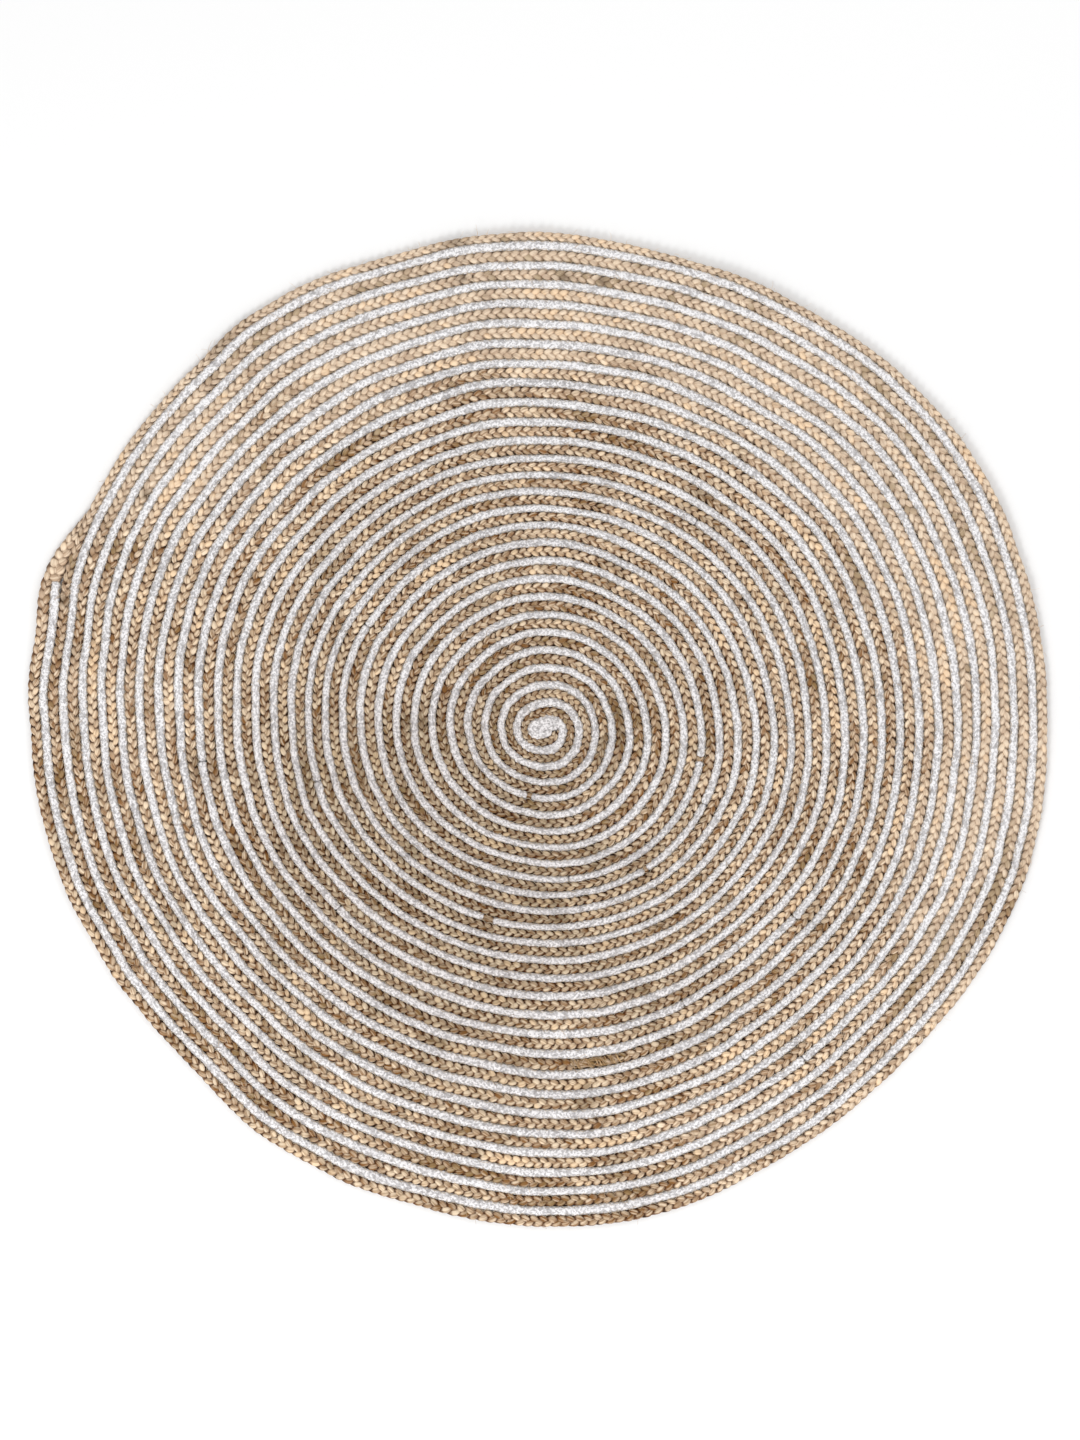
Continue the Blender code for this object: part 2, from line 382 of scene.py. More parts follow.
@dataclass(frozen=True)
class RugPlan:
    """Turns places on the spiral into laid paths."""

    lay: SpiralLay = field(default_factory=SpiralLay)
    hand: HandLaying = field(default_factory=HandLaying)

    def place(self, turn: np.ndarray, across: np.ndarray | float) -> np.ndarray:
        """Plan positions in the frame, hand laying included.

        Args:
            turn: Turns along the spiral.
            across: How far out from the lay line, as a share of a turn.

        Returns:
            An array of x and y.
        """
        return self.hand.shift(self.lay.from_eye(turn, across) - self.lay.middle())

    def path(self, start: float, end: float, inner: Edge, outer: Edge, spacing: float) -> LaidPath:
        """Sample a stretch of braid.

        Args:
            start: First turn.
            end: Last turn.
            inner: Inner edge at each turn, as a share of a turn from the lay line.
            outer: Outer edge at each turn.
            spacing: Distance between samples.

        Returns:
            The laid path.
        """
        fine = np.linspace(start, end, max(16, int((end - start) * 720)))
        middle = (inner(fine) + outer(fine)) / 2.0
        dense = self.lay.from_eye(fine, middle)
        run = np.concatenate([[0.0], np.cumsum(np.linalg.norm(np.diff(dense, axis=0), axis=1))])
        along = np.linspace(0.0, run[-1], max(6, round(run[-1] / spacing) + 1))
        turn = np.interp(along, run, fine)
        across = (inner(turn) + outer(turn)) / 2.0
        centre = self.place(turn, across)
        edge_in = self.place(turn, inner(turn))
        edge_out = self.place(turn, outer(turn))
        width = np.linalg.norm(edge_out - edge_in, axis=1)
        ahead = np.gradient(centre, axis=0)
        ahead /= np.linalg.norm(ahead, axis=1, keepdims=True)
        outward = np.stack([-ahead[:, 1], ahead[:, 0]], axis=-1)
        half = width / 2.0 - self.lay.seam_gap / 2.0
        return LaidPath(along, turn, centre, outward, half, self.hand.lift(centre))


def level(value: float) -> Edge:
    """An edge that keeps one distance from the lay line."""
    return lambda turn: np.full_like(turn, value)


def wander(along: np.ndarray, wavelength: float, rng: np.random.Generator) -> np.ndarray:
    """A smooth random walk between about -1 and 1, summed from five waves.

    Args:
        along: Distance along the braid.
        wavelength: Typical length of one swing.
        rng: Source of the random draws.

    Returns:
        One value for each distance.
    """
    count = 5
    total = np.zeros_like(along)
    for _ in range(count):
        length = wavelength * rng.uniform(0.6, 1.9)
        total += np.sin(TAU * along / length + rng.uniform(0.0, TAU))
    return total / math.sqrt(count) / 1.2


# ---- mesh making


@dataclass
class Skein:
    """Tubes gathered into one mesh, unrolled in rows on its own map."""

    MAP_MARGIN = 0.06
    vertices: list[np.ndarray] = field(default_factory=list)
    quads: list[np.ndarray] = field(default_factory=list)
    caps: list[np.ndarray] = field(default_factory=list)
    straight: list[np.ndarray] = field(default_factory=list)
    tone: list[np.ndarray] = field(default_factory=list)
    depth: list[np.ndarray] = field(default_factory=list)
    corners: int = 8
    count: int = 0

    def add_tube(
        self, rings: np.ndarray, girth: float, along: np.ndarray, tone: np.ndarray, depth: np.ndarray
    ) -> None:
        """Add one closed tube.

        Args:
            rings: Corner points, as rings by corners by xyz.
            girth: Radius of the tube when laid out straight, for its yarn pattern.
            along: Distance along the tube at each ring.
            tone: Shade of the yarn at each ring, from -1 to 1.
            depth: How deep each corner lies in the braid, from 0 to 1, which sets its painted crease shade.
        """
        rows, corners = rings.shape[:2]
        self.corners = corners
        first = self.count
        index = first + np.arange(rows * corners).reshape(rows, corners)
        after = np.roll(index, -1, axis=1)
        quads = np.stack([index[:-1], after[:-1], after[1:], index[1:]], axis=-1)
        around = TAU * np.arange(corners) / corners
        self.vertices.append(rings.reshape(-1, 3))
        self.quads.append(quads.reshape(-1, 4))
        self.caps.append(index[0][::-1])
        self.caps.append(index[-1])
        flat = np.zeros((rows, corners, 3))
        flat[..., 0] = along[:, None]
        flat[..., 1] = girth * np.cos(around)[None, :]
        flat[..., 2] = girth * np.sin(around)[None, :]
        self.straight.append(flat.reshape(-1, 3))
        self.tone.append(np.repeat(tone, corners))
        self.depth.append(depth.reshape(-1))
        self.count += rows * corners

    def _map(self, quads: np.ndarray, girth_share: float) -> np.ndarray:
        """Lay the strips of quads in rows on the map, none over another.

        Args:
            quads: The vertices of each quad.
            girth_share: Ring spacing over the tube's girth, which sets the number of rows.

        Returns:
            The map place of each corner of each quad.
        """
        strips = len(quads) // self.corners
        rows = max(1, round(math.sqrt(strips * girth_share)))
        per_row = math.ceil(strips / rows)
        strip = np.repeat(np.arange(strips), self.corners)
        side = np.tile(np.arange(self.corners), strips)
        left = (strip % per_row) / per_row
        right = left + 1.0 / per_row
        filled = 1.0 - 2.0 * self.MAP_MARGIN
        low = (strip // per_row + self.MAP_MARGIN + filled * side / self.corners) / rows
        high = low + filled / self.corners / rows
        ends = ((left, low), (left, high), (right, high), (right, low))
        return np.stack([np.stack(end, -1) for end in ends], axis=1).reshape(-1, 2)

    def make(self, name: str, material: bpy.types.Material, girth_share: float = 0.12) -> bpy.types.Object:
        """Make the object.

        Args:
            name: The piece's name.
            material: Its finish.
            girth_share: Ring spacing over the tube's girth, which sets the rows of the map.

        Returns:
            The new object, linked to the scene.
        """
        vertices = np.concatenate(self.vertices).astype(np.float32)
        quads = np.concatenate(self.quads)
        caps = np.stack(self.caps)
        loops = np.concatenate([quads.ravel(), caps.ravel()]).astype(np.int32)
        sizes = np.concatenate([np.full(len(quads), 4), np.full(len(caps), self.corners)])
        starts = np.concatenate([[0], np.cumsum(sizes)[:-1]]).astype(np.int32)
        mesh = bpy.data.meshes.new(name)
        mesh.vertices.add(len(vertices))
        mesh.vertices.foreach_set("co", vertices.ravel())
        mesh.loops.add(len(loops))
        mesh.loops.foreach_set("vertex_index", loops)
        mesh.polygons.add(len(sizes))
        mesh.polygons.foreach_set("loop_start", starts)
        mesh.polygons.foreach_set("use_smooth", np.ones(len(sizes), dtype=bool))
        uv = np.concatenate([self._map(quads, girth_share), np.full((caps.size, 2), 0.001)])
        mesh.uv_layers.new(name="OFBake").uv.foreach_set("vector", uv.astype(np.float32).ravel())
        straight = mesh.attributes.new("straight", "FLOAT_VECTOR", "POINT")
        straight.data.foreach_set("vector", np.concatenate(self.straight).astype(np.float32).ravel())
        for label, values in (("tone", self.tone), ("depth", self.depth)):
            layer = mesh.attributes.new(label, "FLOAT", "POINT")
            layer.data.foreach_set("value", np.concatenate(values).astype(np.float32))
        mesh.materials.append(material)
        mesh.update(calc_edges=True)
        mesh.validate()
        piece = bpy.data.objects.new(name, mesh)
        bpy.context.scene.collection.objects.link(piece)
        return piece


def rings_along(
    spine: np.ndarray,
    half_wide: np.ndarray,
    half_high: np.ndarray,
    corners: int,
    swell: np.ndarray | float = 0.0,
) -> np.ndarray:
    """Oval rings square to a spine.

    Args:
        spine: Points along the tube.
        half_wide: Half width at each point, level with the floor.
        half_high: Half height at each point.
        corners: Corners of each ring.
        swell: Share that each corner stands out by, rings by corners.

    Returns:
        Rings by corners by xyz.
    """
    ahead = np.gradient(spine, axis=0)
    ahead /= np.linalg.norm(ahead, axis=1, keepdims=True)
    side = np.cross(ahead, np.array([0.0, 0.0, 1.0]))
    side /= np.linalg.norm(side, axis=1, keepdims=True)
    up = np.cross(side, ahead)
    around = TAU * np.arange(corners) / corners
    wide = (half_wide[:, None] * np.cos(around)[None, :] * (1.0 + swell))[..., None]
    high = (half_high[:, None] * np.sin(around)[None, :] * (1.0 + swell))[..., None]
    return spine[:, None, :] + side[:, None, :] * wide + up[:, None, :] * high


# ---- node helpers


def tint(red: int, green: int, blue: int) -> tuple[float, float, float, float]:
    """A display colour as scene-linear values.

    Args:
        red: From 0 to 255.
        green: From 0 to 255.
        blue: From 0 to 255.

    Returns:
        Red, green, blue and full alpha, from 0 to 1.
    """
    return tuple((v / 255.0) ** 2.2 for v in (red, green, blue)) + (1.0,)


Wire = bpy.types.NodeSocket | float | tuple


@dataclass
class Graph:
    """A node tree being put together."""

    tree: bpy.types.NodeTree

    def add(self, kind: str, **settings: object) -> bpy.types.Node:
        """Add a node.

        Args:
            kind: Its type.
            settings: Properties to set on it.

        Returns:
            The node.
        """
        node = self.tree.nodes.new(kind)
        for key, value in settings.items():
            setattr(node, key, value)
        return node

    def feed(self, socket: bpy.types.NodeSocket, value: Wire) -> None:
        """Link a socket, or give it a constant.

        Args:
            socket: The input.
            value: The output or the number to feed it.
        """
        if isinstance(value, bpy.types.NodeSocket):
            self.tree.links.new(value, socket)
        else:
            socket.default_value = value

    def sum(self, operation: str, *values: Wire, clamp: bool = False) -> bpy.types.NodeSocket:
        """One step of arithmetic.

        Args:
            operation: Which one.
            values: What goes in.
            clamp: Whether the result is kept between 0 and 1.

        Returns:
            The result.
        """
        node = self.add("ShaderNodeMath", operation=operation, use_clamp=clamp)
        for socket, value in zip(node.inputs, values):
            self.feed(socket, value)
        return node.outputs[0]

    def blend(self, share: Wire, first: Wire, second: Wire, mode: str = "MIX") -> bpy.types.NodeSocket:
        """Mix two colours.

        Args:
            share: Share of the second colour.
            first: The colour at 0.
            second: The colour at 1.
            mode: How the second goes over the first.

        Returns:
            The mixed colour.
        """
        node = self.add("ShaderNodeMix", data_type="RGBA", blend_type=mode)
        self.feed(node.inputs[0], share)
        self.feed(node.inputs[6], first)
        self.feed(node.inputs[7], second)
        return node.outputs[2]

    def spread(
        self, value: Wire, low: float, high: float, to_low: float = 0.0, to_high: float = 1.0
    ) -> bpy.types.NodeSocket:
        """Stretch a range of values onto another, clamped and eased.

        Args:
            value: What goes in.
            low: Start of its range.
            high: End of its range.
            to_low: What the start becomes.
            to_high: What the end becomes.

        Returns:
            The stretched value.
        """
        node = self.add("ShaderNodeMapRange", interpolation_type="SMOOTHSTEP")
        for socket, number in zip(node.inputs, (value, low, high, to_low, to_high)):
            self.feed(socket, number)
        return node.outputs[0]

    def arch(self, value: Wire) -> bpy.types.NodeSocket:
        """One arch from 0 up to 1 and back for each whole step of a value."""
        return self.sum("SINE", self.sum("MULTIPLY", self.sum("FRACT", value), math.pi))

    def point(self, label: str, output: str) -> bpy.types.NodeSocket:
        """Read a value stored on the mesh."""
        return self.add("ShaderNodeAttribute", attribute_name=label).outputs[output]

    def noise(self, place: Wire, scale: float, detail: float, rough: float = 0.55) -> bpy.types.NodeSocket:
        """Noise, about 0.3 to 0.7 over most of its area.

        Args:
            place: Where each point of the surface lies in it.
            scale: How many swings fit in one unit.
            detail: How many finer layers it has.
            rough: How strong they are.

        Returns:
            The noise.
        """
        node = self.add("ShaderNodeTexNoise")
        self.feed(node.inputs["Vector"], place)
        self.feed(node.inputs["Scale"], scale)
        self.feed(node.inputs["Detail"], detail)
        self.feed(node.inputs["Roughness"], rough)
        return node.outputs["Fac"]

    def stretched(self, place: Wire, stretch: tuple[float, float, float]) -> bpy.types.NodeSocket:
        """Scale each axis of a place.

        Args:
            place: The place.
            stretch: Scale of x, y and z.

        Returns:
            The scaled place.
        """
        node = self.add("ShaderNodeVectorMath", operation="MULTIPLY")
        self.feed(node.inputs[0], place)
        self.feed(node.inputs[1], stretch)
        return node.outputs[0]

    def use(self, group: bpy.types.NodeTree, **values: Wire) -> bpy.types.Node:
        """Add a shared group.

        Args:
            group: The group.
            values: What to feed its sockets.

        Returns:
            Its node.
        """
        node = self.add("ShaderNodeGroup", node_tree=group)
        for label, value in values.items():
            self.feed(node.inputs[label], value)
        return node


def new_group(
    name: str, takes: dict[str, str], gives: dict[str, str]
) -> tuple[Graph, bpy.types.Node, bpy.types.Node]:
    """Start a shared node group.

    Args:
        name: The group's name.
        takes: Input labels and their kinds of socket.
        gives: Output labels and their kinds of socket.

    Returns:
        The graph, its input node and its output node.
    """
    tree = bpy.data.node_groups.new(name, "ShaderNodeTree")
    for labels, way in ((takes, "INPUT"), (gives, "OUTPUT")):
        for label, kind in labels.items():
            tree.interface.new_socket(label, in_out=way, socket_type=f"NodeSocket{kind}")
    graph = Graph(tree)
    return graph, graph.add("NodeGroupInput"), graph.add("NodeGroupOutput")


@dataclass
class SharedEffects:
    """The node groups that several finishes use."""

    grain: bpy.types.NodeTree = field(init=False)
    weave: bpy.types.NodeTree = field(init=False)
    zones: bpy.types.NodeTree = field(init=False)
    shade: bpy.types.NodeTree = field(init=False)

    def __post_init__(self) -> None:
        """Build all four groups."""
        self.grain = self._fibre_grain()
        self.weave = self._round_braid()
        self.zones = self._wear_and_light_zones()
        self.shade = self._crevice_shade()

    @staticmethod
    def _fibre_grain() -> bpy.types.NodeTree:
        """Long fibres lying along a strand, in bundles, with slubs.

        Returns:
            The node group.
        """
        graph, given, out = new_group(
            "FibreGrain", {"Straight": "Vector"}, {"Fibre": "Float", "Slub": "Float", "Height": "Float"}
        )
        place = given.outputs["Straight"]
        fine = graph.noise(graph.stretched(place, (90.0, 2400.0, 2400.0)), 1.0, 3.0, 0.65)
        bundle = graph.noise(graph.stretched(place, (40.0, 480.0, 480.0)), 1.0, 2.0)
        slub = graph.noise(graph.stretched(place, (38.0, 60.0, 60.0)), 1.0, 2.0)
        both = graph.sum("MULTIPLY_ADD", bundle, 0.70, graph.sum("MULTIPLY", fine, 0.30))
        graph.feed(out.inputs["Fibre"], graph.spread(both, 0.40, 0.60))
        graph.feed(out.inputs["Slub"], graph.spread(slub, 0.33, 0.67))
        graph.feed(out.inputs["Height"], both)
        return graph.tree

    @staticmethod
    def _round_braid() -> bpy.types.NodeTree:
        """Fine yarns crossing over and under round a cord.

        Returns:
            The node group.
        """
        graph, given, out = new_group(
            "RoundBraid",
            {"Straight": "Vector", "Yarns": "Float", "Lay": "Float"},
            {"Height": "Float", "Yarn": "Float", "Fleck": "Float"},
        )
        split = graph.add("ShaderNodeSeparateXYZ")
        graph.feed(split.inputs[0], given.outputs["Straight"])
        around = graph.sum("ARCTAN2", split.outputs[2], split.outputs[1])
        turn = graph.sum("MULTIPLY", graph.sum("DIVIDE", around, TAU), given.outputs["Yarns"])
        step = graph.sum("DIVIDE", split.outputs[0], given.outputs["Lay"])
        right = graph.sum("ADD", turn, step)
        left = graph.sum("SUBTRACT", turn, step)
        cells = [graph.sum("FLOOR", way) for way in (right, left)]
        tops = [graph.arch(way) for way in (right, left)]
        over = graph.sum("PINGPONG", graph.sum("ADD", *cells), 1.0)
        rising = graph.sum("MULTIPLY", tops[0], over)
        height = graph.sum("ADD", rising, graph.sum("MULTIPLY", tops[1], graph.sum("SUBTRACT", 1.0, over)))
        cell = graph.add("ShaderNodeCombineXYZ")
        graph.feed(cell.inputs[0], cells[0])
        graph.feed(cell.inputs[1], cells[1])
        random = graph.add("ShaderNodeTexWhiteNoise", noise_dimensions="3D")
        graph.feed(random.inputs["Vector"], cell.outputs[0])
        hairs = graph.noise(graph.stretched(given.outputs["Straight"], (330.0, 480.0, 480.0)), 1.0, 2.0, 0.6)
        graph.feed(out.inputs["Height"], graph.sum("MULTIPLY_ADD", hairs, 0.35, height))
        graph.feed(out.inputs["Yarn"], random.outputs["Value"])
        graph.feed(out.inputs["Fleck"], graph.spread(hairs, 0.40, 0.58))
        return graph.tree

    @staticmethod
    def _wear_and_light_zones() -> bpy.types.NodeTree:
        """Where the rug is duller: towards the middle and one side, in broad uneven patches. Their slope,
        paler to the upper right and duller to the lower left, is painted light; the rest is wear and the
        fibre's own colour.

        Returns:
            The node group.
        """
        graph, given, out = new_group(
            "WearAndLightZones", {"Patches": "Float"}, {"Dull": "Float", "Pale": "Float", "Smudge": "Float"}
        )
        place = graph.add("ShaderNodeTexCoord").outputs["Object"]
        split = graph.add("ShaderNodeSeparateXYZ")
        graph.feed(split.inputs[0], place)
        # painted light: this slope makes the upper right paler and the lower left duller, as stronger light
        # from one side would
        upward = graph.sum("MULTIPLY", split.outputs[1], 0.50)
        slope = graph.sum("MULTIPLY_ADD", split.outputs[0], 0.26, upward)
        reach = graph.add("ShaderNodeVectorMath", operation="LENGTH")
        graph.feed(reach.inputs[0], graph.stretched(place, (1.0, 1.0, 0.0)))
        outward = graph.spread(reach.outputs["Value"], 0.26, 0.56)
        patch = graph.noise(place, given.outputs["Patches"], 2.0)
        patchy = graph.sum("MULTIPLY", graph.sum("SUBTRACT", patch, 0.5), 0.9)
        trodden = graph.add("ShaderNodeVectorMath", operation="DISTANCE")
        graph.feed(trodden.inputs[0], place)
        graph.feed(trodden.inputs[1], (-0.12, -0.14, 0.0))
        worn = graph.spread(trodden.outputs["Value"], 0.06, 0.26, 0.42, 0.0)
        base = graph.sum("SUBTRACT", slope, worn)
        bright = graph.sum("ADD", graph.sum("MULTIPLY_ADD", outward, 0.42, base), patchy)
        spots = graph.noise(place, 17.0, 3.0)
        smudged = graph.spread(spots, 0.55, 0.70)
        graph.feed(out.inputs["Smudge"], graph.sum("MULTIPLY", smudged, graph.spread(bright, 0.75, -0.20)))
        graph.feed(out.inputs["Dull"], graph.spread(bright, 0.40, -0.45))
        graph.feed(out.inputs["Pale"], graph.spread(bright, 0.18, 0.62))
        return graph.tree

    @staticmethod
    def _crevice_shade() -> bpy.types.NodeTree:
        """Painted shade deep between the strands, broken up along their fibres.

        Returns:
            The node group.
        """
        graph, given, out = new_group(
            "CreviceShade", {"Depth": "Float", "Straight": "Vector"}, {"Shade": "Float", "Hollow": "Float"}
        )
        ragged = graph.noise(graph.stretched(given.outputs["Straight"], (140.0, 420.0, 420.0)), 1.0, 2.0)
        depth = graph.sum("MULTIPLY_ADD", graph.sum("SUBTRACT", ragged, 0.5), 0.5, given.outputs["Depth"])
        patches = graph.noise(graph.stretched(given.outputs["Straight"], (34.0, 90.0, 90.0)), 1.0, 1.0)
        open_here = graph.spread(patches, 0.46, 0.62)
        # painted shade: Shade grows with how deep a corner lies between the strands
        graph.feed(out.inputs["Shade"], graph.spread(depth, 0.15, 1.0))
        # painted shade: Hollow marks deep spots where the strands open apart, painted near black
        graph.feed(out.inputs["Hollow"], graph.sum("MULTIPLY", open_here, graph.spread(depth, 0.55, 1.05)))
        return graph.tree


# ---- finishes


@dataclass(frozen=True)
class Relief:
    """How strongly a height pattern bends the light, and how high it stands."""

    strength: float
    height: float


def start_finish(name: str) -> tuple[bpy.types.Material, Graph]:
    """Start a material.

    Args:
        name: Its name.

    Returns:
        The material and its graph.
    """
    made = bpy.data.materials.new(name)
    made.use_nodes = True
    return made, Graph(made.node_tree)


def lay_finish(
    graph: Graph, colour: Wire, height: Wire, relief: Relief, roughness: float, gloss: float
) -> None:
    """Wire a finish to its surface.

    Args:
        graph: The material's graph.
        colour: Its colour.
        height: Its height pattern.
        relief: How that pattern stands out.
        roughness: How matt it is.
        gloss: How much light it mirrors.
    """
    bump = graph.add("ShaderNodeBump")
    bump.inputs["Strength"].default_value = relief.strength
    bump.inputs["Distance"].default_value = relief.height
    graph.feed(bump.inputs["Height"], height)
    surface = graph.tree.nodes["Principled BSDF"]
    graph.feed(surface.inputs["Base Color"], colour)
    graph.feed(surface.inputs["Normal"], bump.outputs[0])
    surface.inputs["Roughness"].default_value = roughness
    surface.inputs["Specular IOR Level"].default_value = gloss


@dataclass(frozen=True)
class JuteFinish:
    """Golden-tan bast fibre, duller and greyer in the worn zones, which also hold painted light: paler to the
    upper right, duller to the lower left.
    """

    name: str = "jute_yarn"
    pale: tuple = tint(254, 231, 201)
    deep: tuple = tint(138, 94, 50)
    dull: tuple = tint(174, 174, 166)
    golden: tuple = tint(243, 222, 198)
    warm: tuple = tint(255, 229, 192)
    # painted shade colours: the creases between strands, and the open hollows between them
    painted_crease_shade: tuple = tint(92, 50, 16)
    painted_hollow_shade: tuple = tint(40, 26, 14)
    olive: tuple = tint(150, 130, 92)
    smudge: tuple = tint(112, 94, 66)
    stain_and_hole_shade: tuple = tint(84, 62, 38)
    patches: float = 5.5
    dull_share: float = 0.62
    golden_share: float = 0.55
    olive_share: float = 0.50
    warm_share: float = 0.40
    smudge_share: float = 0.50
    crevice_share: float = 0.80
    crevice_where_dull: float = 0.18
    crevice_where_pale: float = -0.42
    hollow_share: float = 0.85
    hollow_where_pale: float = -0.55
    relief: Relief = Relief(1.0, 0.0018)
    roughness: float = 0.86
    gloss: float = 0.28

    def material(self, effects: SharedEffects) -> bpy.types.Material:
        """Make the material.

        Args:
            effects: The shared node groups.

        Returns:
            The material.
        """
        made, graph = start_finish(self.name)
        straight = graph.point("straight", "Vector")
        tone = graph.point("tone", "Fac")
        grain = graph.use(effects.grain, Straight=straight)
        zones = graph.use(effects.zones, Patches=self.patches)
        shade = graph.use(effects.shade, Depth=graph.point("depth", "Fac"), Straight=straight)
        fibre = graph.sum("MULTIPLY", grain.outputs["Fibre"], 0.65)
        mixed = graph.sum("MULTIPLY_ADD", grain.outputs["Slub"], 0.35, fibre)
        lively = graph.sum("MULTIPLY_ADD", tone, 0.30, mixed, clamp=True)
        colour = graph.blend(lively, self.deep, self.pale)
        # partly painted light: the Dull zone is duller to the lower left as if less lit, and also holds wear
        # and the duller middle
        dulled = graph.blend(1.0, colour, self.dull, "MULTIPLY")
        colour = graph.blend(graph.sum("MULTIPLY", zones.outputs["Dull"], self.dull_share), colour, dulled)
        # partly painted light: the Pale zone is paler to the upper right as if more lit, and also holds the
        # fibre's own paler colour
        bleached_and_lit = graph.sum("MULTIPLY", zones.outputs["Pale"], self.golden_share)
        colour = graph.blend(bleached_and_lit, colour, self.golden)
        colour = graph.blend(graph.spread(tone, -0.45, -1.5, 0.0, self.olive_share), colour, self.olive)
        warmed = graph.blend(1.0, colour, self.warm, "MULTIPLY")
        colour = graph.blend(graph.spread(tone, 0.3, 1.4, 0.0, self.warm_share), colour, warmed)
        smudged = graph.sum("MULTIPLY", zones.outputs["Smudge"], self.smudge_share)
        colour = graph.blend(smudged, colour, self.smudge)
        # painted shade: the crease colour where the strands lie deep, more in the duller zones, less in the
        # paler ones
        darker = graph.sum("MULTIPLY_ADD", zones.outputs["Dull"], self.crevice_where_dull, self.crevice_share)
        darker = graph.sum("MULTIPLY_ADD", zones.outputs["Pale"], self.crevice_where_pale, darker)
        colour = graph.blend(graph.sum("MULTIPLY", shade.outputs["Shade"], darker), colour, self.painted_crease_shade)
        # painted shade: near black in the open hollows between the strands
        hollows = graph.sum("MULTIPLY_ADD", zones.outputs["Pale"], self.hollow_where_pale, self.hollow_share)
        colour = graph.blend(graph.sum("MULTIPLY", shade.outputs["Hollow"], hollows), colour, self.painted_hollow_shade)
        # stains and knots, and painted shade where a mark is a hole
        colour = graph.blend(graph.point("stain_and_hole_shade", "Fac"), colour, self.stain_and_hole_shade)
        lay_finish(graph, colour, grain.outputs["Height"], self.relief, self.roughness, self.gloss)
        return made


@dataclass(frozen=True)
class CottonFinish:
    """Off-white cotton in fine yarns, with grey flecks."""

    name: str = "cotton_braid"
    pale: tuple = tint(246, 244, 245)
    grey: tuple = tint(172, 169, 170)
    fleck: tuple = tint(150, 146, 146)
    dull: tuple = tint(242, 238, 236)
    painted_crease_shade: tuple = tint(174, 158, 140)
    stain_and_hole_shade: tuple = tint(176, 160, 140)
    patches: float = 5.5
    yarns: float = 8.0
    lay: float = 0.0062
    fleck_share: float = 0.55
    smudge_share: float = 0.22
    crevice_share: float = 0.75
    relief: Relief = Relief(0.60, 0.0007)
    roughness: float = 0.80
    gloss: float = 0.30

    def material(self, effects: SharedEffects) -> bpy.types.Material:
        """Make the material.

        Args:
            effects: The shared node groups.

        Returns:
            The material.
        """
        made, graph = start_finish(self.name)
        straight = graph.point("straight", "Vector")
        weave = graph.use(effects.weave, Straight=straight, Yarns=self.yarns, Lay=self.lay)
        zones = graph.use(effects.zones, Patches=self.patches)
        shade = graph.use(effects.shade, Depth=graph.point("depth", "Fac"), Straight=straight)
        tone = graph.sum("MULTIPLY_ADD", graph.point("tone", "Fac"), 0.14, 0.16)
        lively = graph.sum("MULTIPLY_ADD", weave.outputs["Fleck"], 0.84, tone, clamp=True)
        # partly painted light: the Pale zone lightens the upper right as stronger light would
        lively = graph.sum("MULTIPLY_ADD", zones.outputs["Pale"], 0.12, lively, clamp=True)
        colour = graph.blend(lively, self.grey, self.pale)
        marked = graph.spread(weave.outputs["Yarn"], 0.70, 0.95)
        colour = graph.blend(graph.sum("MULTIPLY", marked, self.fleck_share), colour, self.fleck)
        # partly painted light: the Dull zone darkens the lower left as weaker light would, and also holds
        # wear
        colour = graph.blend(zones.outputs["Dull"], colour, graph.blend(1.0, colour, self.dull, "MULTIPLY"))
        smudged = graph.sum("MULTIPLY", zones.outputs["Smudge"], self.smudge_share)
        colour = graph.blend(smudged, colour, self.fleck)
        # painted shade: the crease colour darkens the cord's sides where it dips between the braids
        shaded = graph.sum("MULTIPLY", shade.outputs["Shade"], self.crevice_share)
        colour = graph.blend(shaded, colour, self.painted_crease_shade)
        # stains and knots, and painted shade where a mark is a hole
        colour = graph.blend(graph.point("stain_and_hole_shade", "Fac"), colour, self.stain_and_hole_shade)
        lay_finish(graph, colour, weave.outputs["Height"], self.relief, self.roughness, self.gloss)
        return made


@dataclass(frozen=True)
class ThreadFinish:
    """Plied sewing or binding yarn, painted lighter on the crowns of its plies and darker in the grooves
    between them.
    """

    name: str
    pale: tuple
    deep: tuple
    plies: float
    lay: float
    relief: Relief = Relief(0.5, 0.0003)
    roughness: float = 0.75
    gloss: float = 0.30

    def material(self, effects: SharedEffects) -> bpy.types.Material:
        """Make the material.

        Args:
            effects: The shared node groups.

        Returns:
            The material.
        """
        made, graph = start_finish(self.name)
        straight = graph.point("straight", "Vector")
        grain = graph.use(effects.grain, Straight=straight)
        split = graph.add("ShaderNodeSeparateXYZ")
        graph.feed(split.inputs[0], straight)
        around = graph.sum("DIVIDE", graph.sum("ARCTAN2", split.outputs[2], split.outputs[1]), TAU)
        wound = graph.sum("MULTIPLY_ADD", around, self.plies, graph.sum("DIVIDE", split.outputs[0], self.lay))
        ply = graph.arch(wound)
        # painted light: each ply's crown is lighter, the groove between plies darker
        ply_highlight = graph.sum("MULTIPLY", ply, 0.5)
        share = graph.sum("MULTIPLY_ADD", grain.outputs["Fibre"], 0.5, ply_highlight, clamp=True)
        colour = graph.blend(share, self.deep, self.pale)
        lay_finish(graph, colour, ply, self.relief, self.roughness, self.gloss)
        return made


SEAM_THREAD = ThreadFinish("seam_thread", tint(222, 208, 184), tint(168, 148, 118), plies=2.0, lay=0.0016)
SPLICE_YARN = ThreadFinish("splice_yarn", tint(216, 182, 136), tint(112, 76, 42), plies=2.0, lay=0.0030)


# ---- the rug's parts


